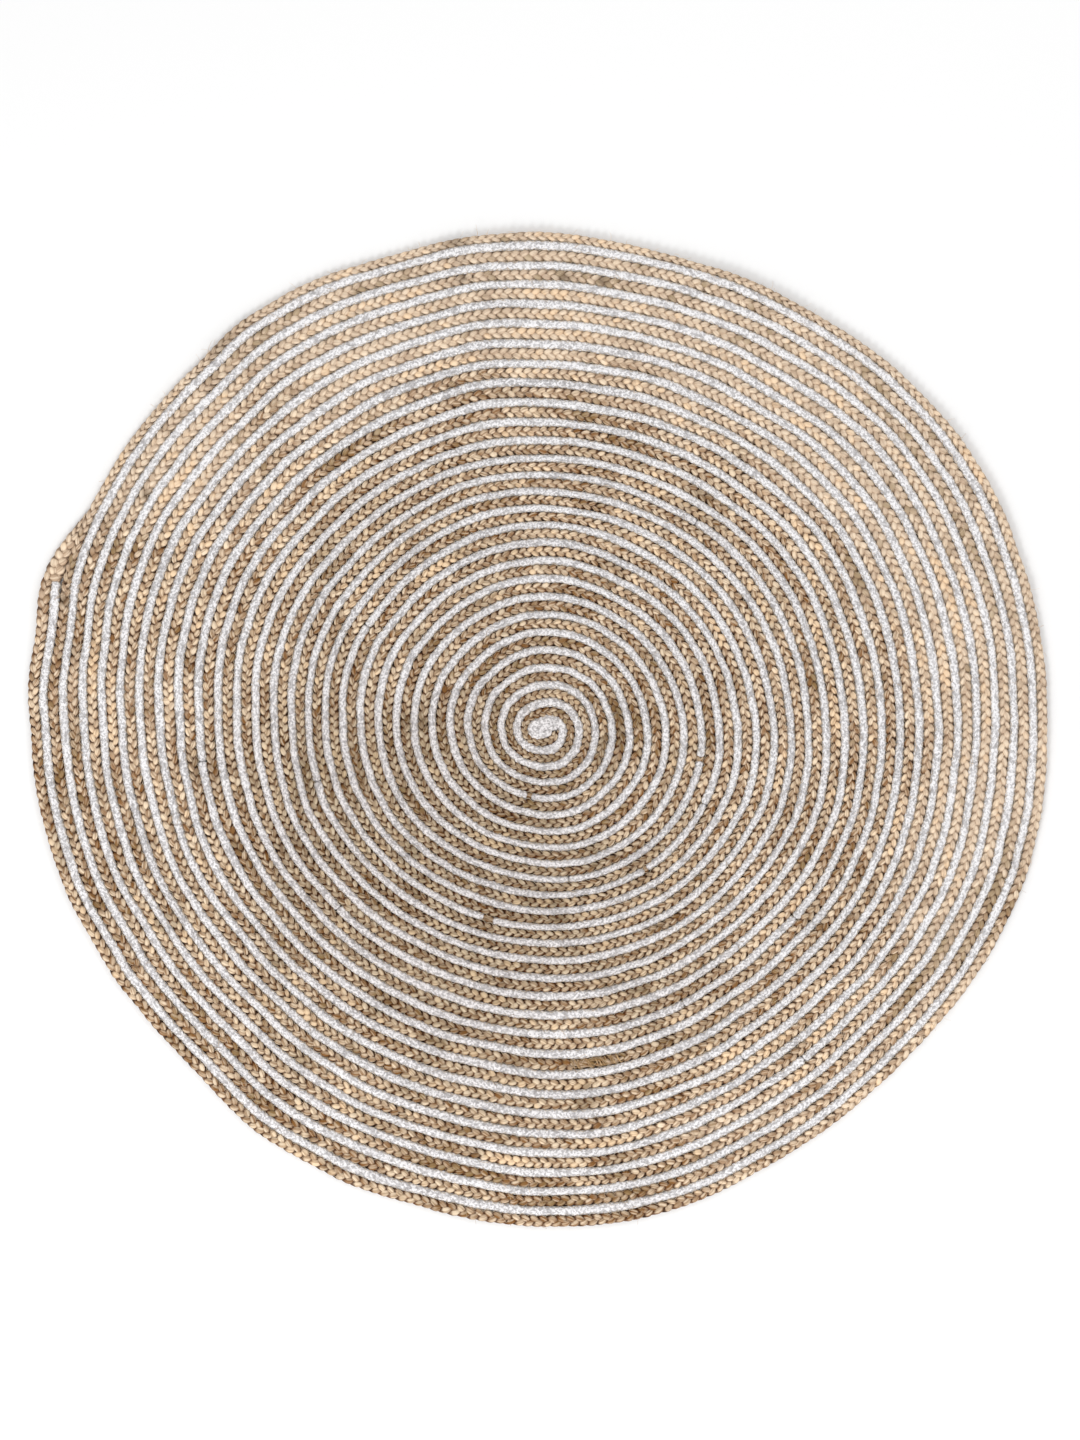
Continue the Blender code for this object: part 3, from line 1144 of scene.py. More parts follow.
class Slot(Enum):
    """Material slot names, which nothing in this script uses."""

    JUTE = "jute_braid"
    COTTON = "cotton_braid"
    SPLICE = "splice_yarn"
    THREAD = "seam_thread"


@dataclass(frozen=True)
class Mark:
    """A knot, hole or stain: where it is, how broad and how dark. A hole is painted dark as shade."""

    x: float
    y: float
    size: float
    strength: float


# dark marks on the jute: stains and knots, and holes painted dark as shade
JUTE_MARKS = (
    Mark(0.0303, 0.5315, 0.0050, 0.75),
    Mark(0.0753, 0.5291, 0.0045, 0.60),
    Mark(-0.0896, 0.5327, 0.0045, 0.65),
    Mark(-0.5629, 0.1495, 0.0050, 0.80),
    Mark(-0.4645, 0.2752, 0.0045, 0.80),
    Mark(-0.5499, 0.0890, 0.0090, 0.30),
    Mark(-0.0980, 0.5730, 0.0130, 0.50),
    Mark(-0.3800, 0.4540, 0.0120, 0.40),
    Mark(0.1786, 0.2705, 0.0140, 0.40),
    Mark(-0.3970, -0.0520, 0.0140, 0.40),
    Mark(-0.2970, -0.1390, 0.0100, 0.40),
    Mark(0.1200, -0.1800, 0.0120, 0.35),
    Mark(-0.5310, -0.2135, 0.0100, 0.30),
    Mark(-0.3636, -0.4720, 0.0100, 0.30),
    Mark(0.0950, -0.4000, 0.0080, 0.40),
    Mark(0.2750, 0.1150, 0.0080, 0.35),
    Mark(0.2960, -0.3810, 0.0080, 0.30),
    Mark(0.3910, -0.1910, 0.0160, 0.30),
    Mark(0.3696, -0.2230, 0.0100, 0.35),
    Mark(0.4645, -0.2444, 0.0050, 0.30),
)


JUTE_NODES = [f"jute_braid_length_{number:02d}" for number in range(1, 10)]
WHITE_NODES = [f"white_braid_length_{number:02d}" for number in range(1, 18)]


def mark_stains_and_hole_shade(piece: bpy.types.Object, marks: tuple[Mark, ...]) -> None:
    """Store how darkly marked each point of a piece is: stains and knots, and the painted shade of holes.

    Args:
        piece: The mesh object.
        marks: The marks that can fall on it.
    """
    mesh = piece.data
    flat = np.empty(len(mesh.vertices) * 3, dtype=np.float32)
    mesh.vertices.foreach_get("co", flat)
    spots = flat.reshape(-1, 3)
    total = np.zeros(len(spots))
    for mark in marks:
        away = (spots[:, 0] - mark.x) ** 2 + (spots[:, 1] - mark.y) ** 2
        total = np.maximum(total, mark.strength * np.exp(-0.5 * away / mark.size**2))
    layer = mesh.attributes.new("stain_and_hole_shade", "FLOAT", "POINT")
    layer.data.foreach_set("value", total.astype(np.float32))


def dress(
    piece: bpy.types.Object, nodes: list[str], marks: tuple[Mark, ...] | None = None
) -> bpy.types.Object:
    """Bind a finished piece to the frame and report it.

    Args:
        piece: The mesh object.
        nodes: The frame's nodes that it stands for.
        marks: Its stains, knots and painted hole shade, or None where its finish shows none.

    Returns:
        The same piece.
    """
    if marks is not None:
        mark_stains_and_hole_shade(piece, marks)
    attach(piece, "root")
    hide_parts(*nodes)
    log.info("%s: %d faces, for %s", piece.name, len(piece.data.polygons), ", ".join(nodes[:3]))
    return piece


def keep_off_floor(rings: np.ndarray, lift: np.ndarray, clearance: float = 0.0001) -> None:
    """Press flat whatever would hang below the rug's underside.

    Args:
        rings: Rings by corners by xyz, changed in place.
        lift: Height of the underside at each ring.
        clearance: Least height over it.
    """
    rings[..., 2] = np.maximum(rings[..., 2], lift[:, None] + clearance)


@dataclass(frozen=True)
class Joint:
    """A place where one length of braid ends and the next begins.

    The place is a share of the rug's turns. An opening below zero pushes the ends into each other.
    """

    place: float
    opening: float


def cut_lengths(
    lay: SpiralLay, start: float, end: float, joints: tuple[Joint, ...]
) -> list[tuple[float, float]]:
    """Start and end turn of each length of a braid that is cut at its joints.

    Args:
        lay: The spiral.
        start: First turn of the braid.
        end: Last turn of the braid.
        joints: Its joints, each at a share of the rug's turns.

    Returns:
        The lengths from the eye outwards.
    """
    starts, ends = [start], []
    for joint in joints:
        turn = joint.place * lay.turns
        here = float(lay.radius(np.array(turn), np.array(-TAU * turn)))
        half = joint.opening / (TAU * here) / 2.0
        ends.append(turn - half)
        starts.append(turn + half)
    return list(zip(starts, ends + [end]))


def near_eye(path: LaidPath) -> np.ndarray:
    """A share that falls from 1 at the eye to nothing over the first rounds."""
    return np.exp(-((path.turn / 2.6) ** 2))


@dataclass
class JuteBraid:
    """The broad braid: a flat plait of three strands of jute, in nine lengths and a bound splice."""

    plan: RugPlan
    thickness: float = 0.0095
    plait: float = 0.0304
    fullness: float = 1.06
    eye_slimness: float = 0.14
    rings_per_plait: int = 14
    corners: int = 8
    start: float = 0.02
    tail: float = 0.024
    tail_tuck: float = 0.0035
    rim_tuck: float = 0.15
    tail_end_width: float = 0.0045
    strand_width: float = 0.500
    strand_height: float = 0.252
    strand_girth: float = 0.0025
    twist: float = 0.021
    twist_relief: float = 0.095
    blunting: float = 0.004
    tip_length: float = 0.010
    tip_height: float = 0.0030
    tip_draw: float = 0.72
    map_girth: float = 0.016
    most_rings: int = 3900
    seed: int = 7
    joints: tuple[Joint, ...] = (
        Joint(0.1558, -0.0024),
        Joint(0.2059, -0.0024),
        Joint(0.3326, -0.0024),
        Joint(0.6017, -0.0024),
        Joint(0.6623, -0.0024),
        Joint(0.6979, 0.0546),
        Joint(0.8976, -0.0024),
        Joint(0.9637, -0.0024),
    )

    @property
    def end(self) -> float:
        """The tail's end."""
        return self.plan.lay.turns + self.tail

    @staticmethod
    def _tail_share(turn: np.ndarray, first: float, last: float) -> np.ndarray:
        """Eased share from 0 at first to 1 at last."""
        return eased(np.clip((turn - first) / (last - first), 0.0, 1.0))

    def inner(self, turn: np.ndarray) -> np.ndarray:
        """The inner edge: past the cotton's end it tucks in against the last round.

        Args:
            turn: Turns along the spiral.

        Returns:
            The edge at each turn, as a share of a turn from the lay line.
        """
        lay = self.plan.lay
        share = self._tail_share(turn, lay.turns - 0.0012, lay.turns + self.tail_tuck)
        further = 0.16 + self.rim_tuck * self._tail_share(turn, lay.turns + 0.004, self.end)
        return lay.white_outer - (2.0 * lay.white_outer + further) * share

    def outer(self, turn: np.ndarray) -> np.ndarray:
        """The outer edge: tucked in a little as the last round begins, then narrowing over the tail.

        Args:
            turn: Turns along the spiral.

        Returns:
            The edge at each turn, as a share of a turn from the lay line.
        """
        lay = self.plan.lay
        last = self.tail_end_width / lay.pitch - lay.white_outer - self.rim_tuck
        rim = self._tail_share(turn, lay.turns - 1.02, lay.turns - 0.98)
        let_out = 1.0 - self._tail_share(turn, lay.turns - 0.72, lay.turns - 0.46)
        full = lay.jute_outer - self.rim_tuck * rim * let_out
        return full + (last - full) * self._tail_share(turn, lay.turns - 0.006, self.end)

    def lengths(self) -> list[tuple[float, float]]:
        """Start and end of the nine lengths, pushed into each other except at the bound splice."""
        return cut_lengths(self.plan.lay, self.start, self.end, self.joints)

    def strands(self, path: LaidPath, salt: int) -> list[dict[str, np.ndarray]]:
        """The three strands of one length of plait.

        Args:
            path: Its laid path.
            salt: Sets its random draws apart from those of other lengths.

        Returns:
            For each strand its rings, distance along, tone and depth.
        """
        rng = np.random.default_rng(self.seed * 1000 + salt)
        along = path.along
        width = path.half_width * self.fullness * (1.0 - self.eye_slimness * near_eye(path))
        reach = path.turn / self.plan.lay.turns
        tight = 1.0 / (0.74 + 0.24 * np.clip(path.turn / 4.0, 0.0, 1.0) + 0.10 * reach)
        step = np.diff(along, prepend=along[0]) * tight
        phase = TAU * np.cumsum(step) / self.plait + rng.uniform(0.0, TAU) + 0.55 * wander(along, 0.30, rng)
        middle = path.lift + self.thickness / 2.0
        sag = 1.0 + 0.05 * wander(along, 0.15, rng)
        batch = 0.35 * wander(along, 0.11, rng) + 0.50 * wander(along, 0.45, rng) + rng.uniform(-0.3, 0.3)
        made = []
        for strand in range(3):
            turned = phase + TAU * strand / 3.0
            fat = 1.0 + 0.10 * wander(along, 0.045, rng) + 0.05 * wander(along, 0.60, rng)
            blunt = np.clip(np.minimum(along, along[-1] - along) / self.blunting, 0.35, 1.0)
            plump = fat * blunt * (0.83 + 0.21 * np.abs(np.sin(2.0 * turned)))
            wide = width * self.strand_width * plump
            high = self.thickness * self.strand_height * plump
            swing = (width - wide) * sag * (np.sin(turned) + 0.06 * np.sin(3.0 * turned)) / 0.96
            rise = (self.thickness / 2.0 - high) * np.sin(2.0 * turned)
            lifted = 0.00022 * wander(along, 0.030, rng)
            spine = path.spine(swing, middle + rise + lifted)
            around = TAU * np.arange(self.corners) / self.corners
            way = around[None, :] * 2.0 + (TAU * along / self.twist)[:, None] + strand
            rings = rings_along(spine, wide, high, self.corners, self.twist_relief * np.sin(way))
            keep_off_floor(rings, path.lift)
            # painted shade: depth, highest on the strands' sides, sets how much crease shade colour they take
            level_off = np.abs(rings[..., 2] - middle[:, None]) / (self.thickness / 2.0)
            depth = np.clip((0.82 - level_off) / 0.50, 0.0, 1.0)
            tone = batch + 0.60 * wander(along, 0.022, rng) + 0.40 * wander(along, 0.12, rng)
            apart = along + 61.7 * strand + 3.1 * salt
            made.append({"rings": rings, "along": apart, "tone": tone, "depth": depth})
        return made

    def build(self, material: bpy.types.Material) -> list[bpy.types.Object]:
        """Make every length, the long ones in several pieces that share their end rings.

        Args:
            material: The jute finish.

        Returns:
            The dressed pieces.
        """
        pieces = []
        spacing = self.plait / self.rings_per_plait
        for number, (node, ends) in enumerate(zip(JUTE_NODES, self.lengths()), start=1):
            path = self.plan.path(*ends, self.inner, self.outer, spacing)
            strands = self.strands(path, number)
            if node == JUTE_NODES[-1]:
                self.gather_tail(path, strands)
            rings = len(path.along)
            parts = math.ceil(rings / self.most_rings)
            cuts = np.linspace(0, rings - 1, parts + 1).astype(int)
            for letter, first, last in zip("abcdefgh", cuts[:-1], cuts[1:]):
                skein = Skein()
                for strand in strands:
                    kept = {label: values[first : last + 1] for label, values in strand.items()}
                    skein.add_tube(girth=self.strand_girth, **kept)
                name = node + ("_" + letter if parts > 1 else "") + "_plait"
                piece = skein.make(name, material, spacing / self.map_girth)
                pieces.append(dress(piece, [node], JUTE_MARKS))
        return pieces

    def gather_tail(self, path: LaidPath, strands: list[dict[str, np.ndarray]]) -> None:
        """Draw the strands of the tail down and together towards its tip.

        Args:
            path: The last length's laid path.
            strands: Its strands, changed in place.
        """
        share = self._tail_share(path.turn, self.end - self.tip_length, self.end)[:, None, None]
        tip = path.spine(0.0, path.lift + self.tip_height)[:, None, :]
        for strand in strands:
            strand["rings"][:] = strand["rings"] + (tip - strand["rings"]) * share * self.tip_draw


@dataclass
class CottonBraid:
    """The narrow braid: a soft round-braided cotton cord pressed oval, in seventeen lengths."""

    plan: RugPlan
    thickness: float = 0.0085
    bulge: float = 1.11
    eye_fullness: float = 0.26
    spacing: float = 0.0015
    corners: int = 12
    girth: float = 0.0043
    rounding: float = 0.0022
    lump: float = 0.0098
    lump_relief: float = 0.040
    sway: float = 0.00035
    floor_gap: float = 0.0002
    map_girth: float = 0.028
    start: float = 0.0
    fold: tuple[tuple[float, float], tuple[float, float]] = ((-0.0085, -0.0040), (0.0240, 0.0016))
    fold_bow: float = 0.0016
    fold_half_width: float = 0.0044
    fold_samples: int = 20
    seed: int = 19
    joints: tuple[Joint, ...] = (
        Joint(0.1554, 0.0050),
        Joint(0.3279, 0.0050),
        Joint(0.3348, 0.0003),
        Joint(0.3656, 0.0003),
        Joint(0.3685, 0.0040),
        Joint(0.4205, 0.0003),
        Joint(0.4463, 0.0120),
        Joint(0.4887, 0.0003),
        Joint(0.5323, 0.0003),
        Joint(0.5392, 0.0003),
        Joint(0.5948, 0.0003),
        Joint(0.6572, 0.0003),
        Joint(0.6598, 0.0003),
        Joint(0.7073, 0.0003),
        Joint(0.8046, 0.0003),
        Joint(0.8765, 0.0003),
    )

    def lengths(self) -> list[tuple[float, float]]:
        """Start and end of the seventeen lengths."""
        return cut_lengths(self.plan.lay, self.start, self.plan.lay.turns, self.joints)

    def cord(self, path: LaidPath, salt: int) -> tuple[np.ndarray, np.ndarray, np.ndarray]:
        """Shape one length.

        Args:
            path: Its laid path.
            salt: Sets its random draws apart from those of other lengths.

        Returns:
            Its rings, tone and depth.
        """
        rng = np.random.default_rng(self.seed * 1000 + salt)
        along = path.along
        around = TAU * np.arange(self.corners) / self.corners
        fat = 1.0 + 0.055 * wander(along, 0.022, rng) + 0.045 * wander(along, 0.12, rng)
        left = np.minimum(along, along[-1] - along) / self.rounding
        rounded = np.sqrt(1.0 - (1.0 - np.clip(left, 0.12, 1.0)) ** 2)
        fuller = 1.0 + self.eye_fullness * near_eye(path)
        wide = path.half_width * self.bulge * fuller * fat * rounded
        high = self.thickness / 2.0 * (0.97 + 0.5 * (fat - 1.0)) * rounded
        square = (np.abs(np.cos(around)) ** 3.0 + np.abs(np.sin(around)) ** 3.0) ** (-1.0 / 3.0) - 1.0
        way = along[:, None] * TAU / self.lump + 0.5 * wander(along, 0.05, rng)[:, None]
        lumps = np.sin(3.0 * around[None, :] + way) * np.sin(3.0 * around[None, :] - way)
        swell = square[None, :] + self.lump_relief * lumps
        shift = self.sway * wander(along, 0.040, rng)
        middle = path.lift + self.thickness / 2.0 + self.floor_gap
        rings = rings_along(path.spine(shift, middle), wide, high, self.corners, swell)
        keep_off_floor(rings, path.lift)
        # painted shade: depth, on the cord's sides and between its lumps, sets how much crease shade colour
        # they take
        level_off = np.abs(rings[..., 2] - middle[:, None]) / (self.thickness / 2.0)
        depth = 0.7 * np.clip((0.50 - level_off) / 0.50, 0.0, 1.0) + 0.30 * np.clip(-lumps, 0.0, 1.0)
        tone = 0.6 * wander(along, 0.018, rng) + 0.5 * wander(along, 0.5, rng) + rng.uniform(-0.3, 0.3)
        return rings, tone, depth

    def folded_start(self) -> LaidPath:
        """The cord's folded beginning, which fills the eye.

        Returns:
            Its laid path.
        """
        count = self.fold_samples
        share = np.linspace(0.0, 1.0, count)
        first, last = (np.array(end) for end in self.fold)
        centre = first + (last - first) * share[:, None]
        centre[:, 1] += self.fold_bow * np.sin(share * math.pi)
        run = np.linalg.norm(last - first)
        outward = np.tile(np.array([-(last - first)[1], (last - first)[0]]) / run, (count, 1))
        half = np.full(count, self.fold_half_width)
        return LaidPath(share * float(run), share, centre, outward, half, np.zeros(count))

    def build(self, material: bpy.types.Material) -> list[bpy.types.Object]:
        """Make every length.

        Args:
            material: The cotton finish.

        Returns:
            The dressed pieces.
        """
        pieces = []
        edge = self.plan.lay.white_outer
        for number, (node, ends) in enumerate(zip(WHITE_NODES, self.lengths()), start=1):
            path = self.plan.path(*ends, level(-edge), level(edge), self.spacing)
            rings, tone, depth = self.cord(path, number)
            skein = Skein()
            skein.add_tube(rings, self.girth, path.along + 3.7 * number, tone, depth)
            if node == WHITE_NODES[0]:
                path = self.folded_start()
                rings, tone, depth = self.cord(path, 40)
                skein.add_tube(rings, self.girth, path.along + 90.0, tone, depth)
            piece = skein.make(node + "_cord", material, self.spacing / self.map_girth)
            pieces.append(dress(piece, [node], ()))
        return pieces


@dataclass
class SeamStitching:
    """Zigzag machine stitches over both edges of the cotton, on the top face and the underside."""

    plan: RugPlan
    stitch: float = 0.0052
    reach: float = 0.0019
    radius: float = 0.00032
    top: float = 0.0078
    bottom: float = 0.0010
    floor_gap: float = 0.00005
    start: float = 0.25
    seed: int = 29

    def seam(self, name: str, across: float, end: float, material: bpy.types.Material) -> bpy.types.Object:
        """One seam.

        Args:
            name: The frame's node.
            across: Where the seam lies, as a share of a turn from the lay line.
            end: Its last turn.
            material: Its finish.

        Returns:
            The dressed piece.
        """
        rng = np.random.default_rng(self.seed + len(name))
        path = self.plan.path(self.start, end, level(across), level(across), self.stitch)
        count = len(path.along)
        side = np.where(np.arange(count) % 2 == 0, 1.0, -1.0) * self.reach * rng.uniform(0.75, 1.15, count)
        skein = Skein()
        for height in (self.top, self.bottom):
            drawn = path.lift + height + rng.uniform(-0.0003, 0.0003, count)
            girth = np.full(count, self.radius)
            rings = rings_along(path.spine(side, drawn), girth, girth, 4)
            keep_off_floor(rings, path.lift, self.floor_gap)
            skein.add_tube(rings, self.radius, path.along * 1.3, np.zeros(count), np.zeros((count, 4)))
        return dress(skein.make(name + "_zigzag", material, 0.9), [name])

    def build(self, material: bpy.types.Material) -> list[bpy.types.Object]:
        """Make both seams.

        Args:
            material: The thread's finish.

        Returns:
            The dressed pieces.
        """
        lay = self.plan.lay
        return [
            self.seam("seam_thread_outside_white", lay.white_outer, lay.turns, material),
            self.seam("seam_thread_inside_white", lay.jute_outer, lay.turns - 1.0, material),
        ]


@dataclass
class NotchShadeBand:
    """A dark band inside the jute plait, coloured with the painted crease shade, which closes the notches
    between its strands.
    """

    braid: JuteBraid
    spacing: float = 0.0046
    thickness: float = 0.0020
    height: float = 0.0030
    spill: float = 1.06
    rim_spill: float = 0.80
    tail_gap: float = 0.004
    corners: int = 6
    seed: int = 83

    def build(self, jute: bpy.types.Material) -> list[bpy.types.Object]:
        """Make it as one band along all the lengths.

        Args:
            jute: The jute finish.

        Returns:
            The dressed piece, in a list.
        """
        braid = self.braid
        rng = np.random.default_rng(self.seed)
        last = braid.end - self.tail_gap
        path = braid.plan.path(braid.start + 0.01, last, braid.inner, braid.outer, self.spacing)
        count = len(path.along)
        rim = braid.plan.lay.turns - 1.0
        spill = np.where(path.turn > rim, self.rim_spill, self.spill)
        wide = path.half_width * spill * (1.0 + 0.02 * wander(path.along, 0.03, rng))
        high = np.full(count, self.thickness / 2.0)
        rings = rings_along(path.spine(0.0, path.lift + self.height), wide, high, self.corners)
        skein = Skein()
        # painted shade: a darker tone and a depth of 0.92 give the whole band the crease shade colour
        tone = 0.6 * wander(path.along, 0.05, rng) - 0.4
        skein.add_tube(rings, self.height, path.along, tone, np.full((count, self.corners), 0.92))
        return [dress(skein.make("jute_notch_shade_band", jute, 0.25), JUTE_NODES, ())]


@dataclass
class BoundSplice:
    """Where two jute lengths lie together unplaited, loosely wound round with yarn."""

    braid: JuteBraid
    node: str = "jute_bound_splice"
    yarn: float = 0.00085
    winding: float = 0.0135
    windings: int = 3
    overlap: float = 0.0012
    steps: int = 20
    bundles: int = 5
    bundle: float = 0.0021
    bundle_spread: float = 0.0036
    bundle_twist: float = 0.060
    spacing: float = 0.0018
    half_width: float = 0.0053
    half_height: float = 0.0037
    seed: int = 67

    def core(self, path: LaidPath, middle: np.ndarray, jute: bpy.types.Material) -> bpy.types.Object:
        """Loose bundles of fibre lying side by side.

        Args:
            path: The splice's laid path.
            middle: Height of its middle at each sample.
            jute: The finish.

        Returns:
            The dressed piece.
        """
        rng = np.random.default_rng(self.seed)
        skein = Skein()
        squeeze = 1.0 - 0.25 * np.exp(-0.5 * ((path.along / path.along[-1] - 0.86) / 0.06) ** 2)
        for number in range(self.bundles):
            wound = TAU * number / self.bundles + TAU * path.along / self.bundle_twist
            angle = wound + 0.9 * wander(path.along, 0.03, rng)
            side = self.bundle_spread * np.cos(angle) * squeeze
            high = self.bundle * np.sin(angle) * squeeze
            girth = self.bundle * (1.0 + 0.22 * wander(path.along, 0.010, rng)) * squeeze
            rings = rings_along(path.spine(side, middle + high), girth, girth, 8)
            # painted shade: the lower side of each bundle takes the crease shade colour
            low = (middle[:, None] + 0.0030 - rings[..., 2]) / 0.0045
            tone = 0.9 * wander(path.along, 0.02, rng) + rng.uniform(-1.3, 0.2)
            skein.add_tube(rings, 0.002, path.along + 5.0 * number, tone, np.clip(low, 0.25, 1.0))
        core = skein.make("jute_bound_splice_core", jute, 0.15)
        return dress(core, [self.node], JUTE_MARKS)

    def build(self, jute: bpy.types.Material, yarn: bpy.types.Material) -> list[bpy.types.Object]:
        """Make the core and its winding.

        Args:
            jute: The jute finish.
            yarn: The binding yarn's finish.

        Returns:
            The dressed pieces.
        """
        plan = self.braid.plan
        lengths = self.braid.lengths()
        start, end = lengths[5][1] - self.overlap, lengths[6][0] + self.overlap
        path = plan.path(start, end, self.braid.inner, self.braid.outer, self.spacing)
        middle = path.lift + self.braid.thickness / 2.0 - 0.0002
        rng = np.random.default_rng(self.seed + 1)
        wound = Skein()
        along = np.arange(0.001, path.along[-1] - 0.001, self.winding / self.steps)
        plain_tone, no_depth = np.zeros(len(along)), np.zeros((len(along), 6))
        under = path.at(along)
        for lead in range(self.windings):
            angle = TAU * along / self.winding + TAU * lead / self.windings + 2.0 * wander(along, 0.03, rng)
            wide = self.half_width + 0.0003 * wander(along, 0.01, rng)
            height = np.interp(along, path.along, middle) + self.half_height * np.sin(angle)
            girth = self.yarn * (1.0 + 0.2 * wander(along, 0.02, rng))
            rings = rings_along(under.spine(wide * np.cos(angle), height), girth, girth, 6)
            wound.add_tube(rings, self.yarn, along * 12.0 + lead, plain_tone, no_depth)
        winding = wound.make("jute_bound_splice_winding", yarn, 0.3)
        return [self.core(path, middle, jute), dress(winding, [self.node])]


@dataclass
class JointBulges:
    """Jute pushed up into the openings between two cotton lengths."""

    cotton: CottonBraid
    girth: float = 0.0034
    least: float = 0.002
    closing: float = 0.0030
    apart: float = 0.0018
    height: float = 0.0040
    spacing: float = 0.0009
    seed: int = 71

    def build(self, jute: bpy.types.Material) -> list[bpy.types.Object]:
        """Make all the bulges as one piece.

        Args:
            jute: The jute finish.

        Returns:
            The dressed piece, in a list.
        """
        rng = np.random.default_rng(self.seed)
        plan = self.cotton.plan
        edge = plan.lay.white_outer
        lengths = self.cotton.lengths()
        skein = Skein()
        openings = [(before[1], after[0]) for before, after in zip(lengths[:-1], lengths[1:])]
        wide_open = [pair for pair, joint in zip(openings, self.cotton.joints) if joint.opening > self.least]
        for first, last in wide_open + [(plan.lay.turns - 0.0004, plan.lay.turns + self.closing)]:
            more = 0.25 * (last - first)
            path = plan.path(first - more, last + more, level(-edge), level(edge), self.spacing)
            count = len(path.along)
            # painted shade: a darker tone and a fixed depth give the bulges some crease shade colour
            tone, depth = np.full(count, -0.4), np.full((count, 8), 0.35)
            for side in (-1.0, 1.0):
                sway = side * self.apart * (1.0 + 0.6 * wander(path.along, 0.008, rng))
                height = path.lift + self.height + 0.0004 * wander(path.along, 0.008, rng)
                round_off = np.sqrt(np.clip(np.sin(np.linspace(0.12, math.pi - 0.12, count)), 0.0, 1.0))
                wide = self.girth * 0.8 * round_off
                rings = rings_along(path.spine(sway, height), wide, self.girth * round_off, 8)
                skein.add_tube(rings, 0.0025, path.along + side, tone, depth)
        nodes = [JUTE_NODES[number - 1] for number in (1, 3, 4, 9)]
        return [dress(skein.make("jute_joint_bulges", jute, 0.12), nodes, ())]


@dataclass(frozen=True)
class HairKind:
    """The stray hairs of one braid: how many, where across it, how long, thick and high they are."""

    name: str
    count: int
    middle: float
    spread: float
    length: tuple[float, float]
    radius: float
    top: float


@dataclass
class LooseFibres:
    """Stray hairs that stand out of the braids."""

    plan: RugPlan
    fuzz: HairKind = HairKind("jute", 3600, 0.5, 0.24, (0.006, 0.020), 0.00028, 0.0088)
    lint: HairKind = HairKind("cotton", 900, 0.0, 0.16, (0.004, 0.011), 0.00016, 0.0084)
    arch: tuple[float, float] = (0.0003, 0.0016)
    seed: int = 53

    def hairs(self, kind: HairKind) -> Skein:
        """Scatter hairs over a braid.

        Args:
            kind: What they are like.

        Returns:
            The hairs as one skein.
        """
        rng = np.random.default_rng(self.seed + len(kind.name))
        turn = np.sqrt(rng.uniform(0.002, 1.0, kind.count)) * (self.plan.lay.turns - 0.2)
        place = self.plan.place(turn, kind.middle + rng.uniform(-kind.spread, kind.spread, kind.count))
        ahead = self.plan.place(turn + 0.0005, kind.middle) - self.plan.place(turn, kind.middle)
        heading = np.arctan2(ahead[:, 1], ahead[:, 0]) + rng.normal(0.0, 0.75, kind.count)
        lift = self.plan.hand.lift(place)
        skein = Skein()
        step = np.linspace(0.0, 1.0, 5)
        for i in range(kind.count):
            reach = rng.uniform(*kind.length)
            bend = heading[i] + rng.normal(0.0, 0.9) * step
            walk = np.stack([np.cos(bend), np.sin(bend)], axis=1) * reach / 4.0
            plan = place[i] + np.cumsum(walk, axis=0) - walk.sum(0) / 2.0
            arch = np.sin(step * math.pi) * rng.uniform(*self.arch)
            spine = np.concatenate([plan, (lift[i] + kind.top + arch)[:, None]], axis=1)
            girth = kind.radius * (1.0 - 0.6 * step)
            tone = np.full(5, rng.uniform(-0.2, 0.9))
            rings = rings_along(spine, girth, girth, 3)
            skein.add_tube(rings, kind.radius, step * reach + i * 0.37, tone, np.zeros((5, 3)))
        return skein

    def build(self, jute: bpy.types.Material, cotton: bpy.types.Material) -> list[bpy.types.Object]:
        """Make the hairs of both braids.

        Args:
            jute: The jute finish.
            cotton: The cotton finish.

        Returns:
            The dressed pieces.
        """
        jute_hairs = self.hairs(self.fuzz).make("jute_loose_hairs", jute, 1.2)
        cotton_lint = self.hairs(self.lint).make("cotton_loose_lint", cotton, 1.2)
        return [
            dress(jute_hairs, JUTE_NODES, ()),
            dress(cotton_lint, WHITE_NODES, ()),
        ]


# ---- the studio


@dataclass(frozen=True)
class SoftLight:
    """A square soft light aimed at the rug's middle."""

    name: str
    place: tuple[float, float, float]
    size: float
    power: float

    def build(self) -> bpy.types.Object:
        """Hang the light.

        Returns:
            The new light.
        """
        light = bpy.data.lights.new(self.name, "AREA")
        light.size = self.size
        light.energy = self.power
        lamp = bpy.data.objects.new(self.name, light)
        lamp.location = self.place
        lamp.rotation_euler = (-Vector(self.place)).to_track_quat("-Z", "Y").to_euler()
        bpy.context.scene.collection.objects.link(lamp)
        return lamp


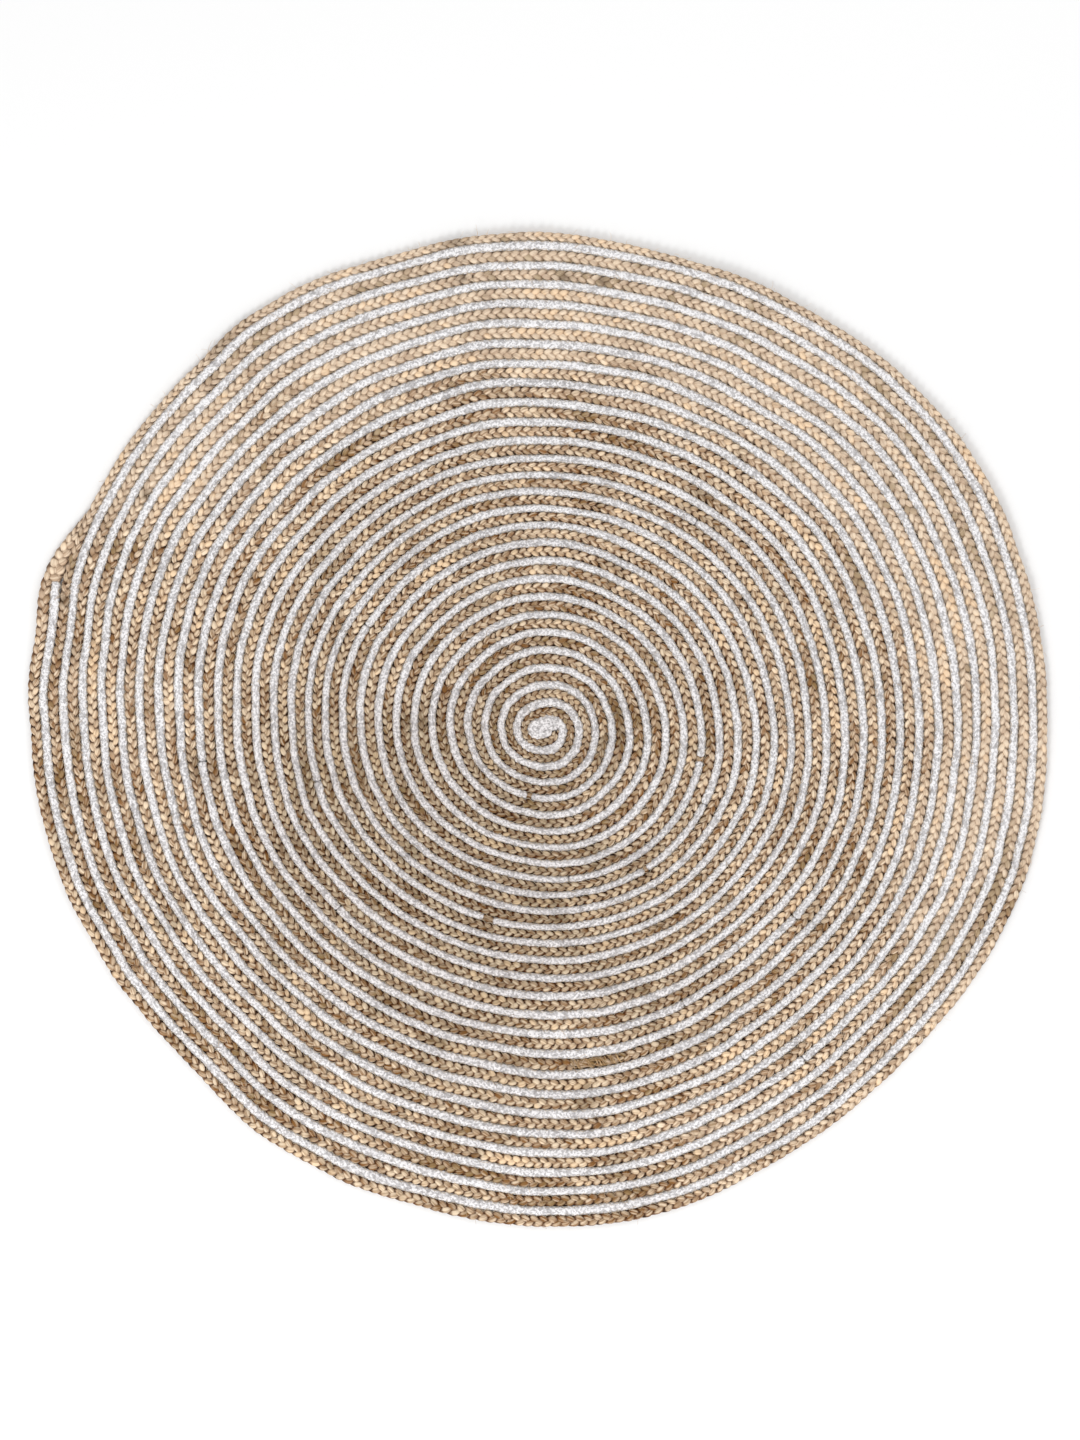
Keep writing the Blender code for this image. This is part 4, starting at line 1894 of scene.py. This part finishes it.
@dataclass(frozen=True)
class Studio:
    """Pale floor, soft light and a camera looking straight down."""

    height: float = 3.6
    seen_height: float = 1.7084
    sensor: float = 36.0
    aim: tuple[float, float] = (0.0018, 0.0083)
    rug_top: float = 0.0085
    far: float = 50.0
    floor_size: float = 14.0
    floor_grey: float = 0.93
    lights: tuple[SoftLight, ...] = (
        SoftLight("key", (-1.1, -2.3, 2.4), 1.2, 52.0),
        SoftLight("fill", (1.8, 2.0, 3.0), 2.4, 20.0),
    )
    sky: float = 0.79

    def floor(self) -> bpy.types.Object:
        """A plain pale floor under the rug.

        Returns:
            The floor.
        """
        half = self.floor_size / 2.0
        corners = [(-half, -half, 0.0), (half, -half, 0.0), (half, half, 0.0), (-half, half, 0.0)]
        mesh = bpy.data.meshes.new("floor")
        mesh.from_pydata(corners, [], [(0, 1, 2, 3)])
        floor = bpy.data.objects.new("floor", mesh)
        bpy.context.scene.collection.objects.link(floor)
        paint = bpy.data.materials.new("floor_paint")
        paint.use_nodes = True
        surface = paint.node_tree.nodes["Principled BSDF"]
        surface.inputs["Base Color"].default_value = (*[self.floor_grey] * 3, 1.0)
        surface.inputs["Roughness"].default_value = 0.95
        surface.inputs["Specular IOR Level"].default_value = 0.1
        mesh.materials.append(paint)
        return floor

    def camera(self) -> bpy.types.Object:
        """The camera, straight above.

        Returns:
            The camera.
        """
        lens = bpy.data.cameras.new("camera")
        lens.sensor_width = self.sensor
        lens.lens = self.sensor * self.height / self.seen_height
        lens.clip_end = self.far
        camera = bpy.data.objects.new("camera", lens)
        camera.location = (*self.aim, self.height + self.rug_top)
        bpy.context.scene.collection.objects.link(camera)
        bpy.context.scene.camera = camera
        return camera

    def build(self) -> None:
        """Set up floor, light and camera."""
        scene = bpy.context.scene
        world = bpy.data.worlds.new("world")
        world.use_nodes = True
        backdrop = world.node_tree.nodes["Background"]
        backdrop.inputs["Color"].default_value = (1.0, 1.0, 1.0, 1.0)
        backdrop.inputs["Strength"].default_value = self.sky
        scene.world = world
        scene.view_settings.view_transform = "Standard"
        self.floor()
        for light in self.lights:
            light.build()
        self.camera()


def main() -> None:
    """Build the rug and its studio, from the eye outwards."""
    logging.basicConfig(level=logging.INFO, format="%(name)s: %(message)s")
    plan = RugPlan()
    effects = SharedEffects()
    jute = JuteFinish().material(effects)
    cotton = CottonFinish().material(effects)
    thread = SEAM_THREAD.material(effects)
    binding = SPLICE_YARN.material(effects)
    braid = JuteBraid(plan)
    braid.build(jute)
    NotchShadeBand(braid).build(jute)
    cord = CottonBraid(plan)
    cord.build(cotton)
    JointBulges(cord).build(jute)
    SeamStitching(plan).build(thread)
    BoundSplice(braid).build(jute, binding)
    LooseFibres(plan).build(jute, cotton)
    Studio().build()


if __name__ == "__main__":
    main()
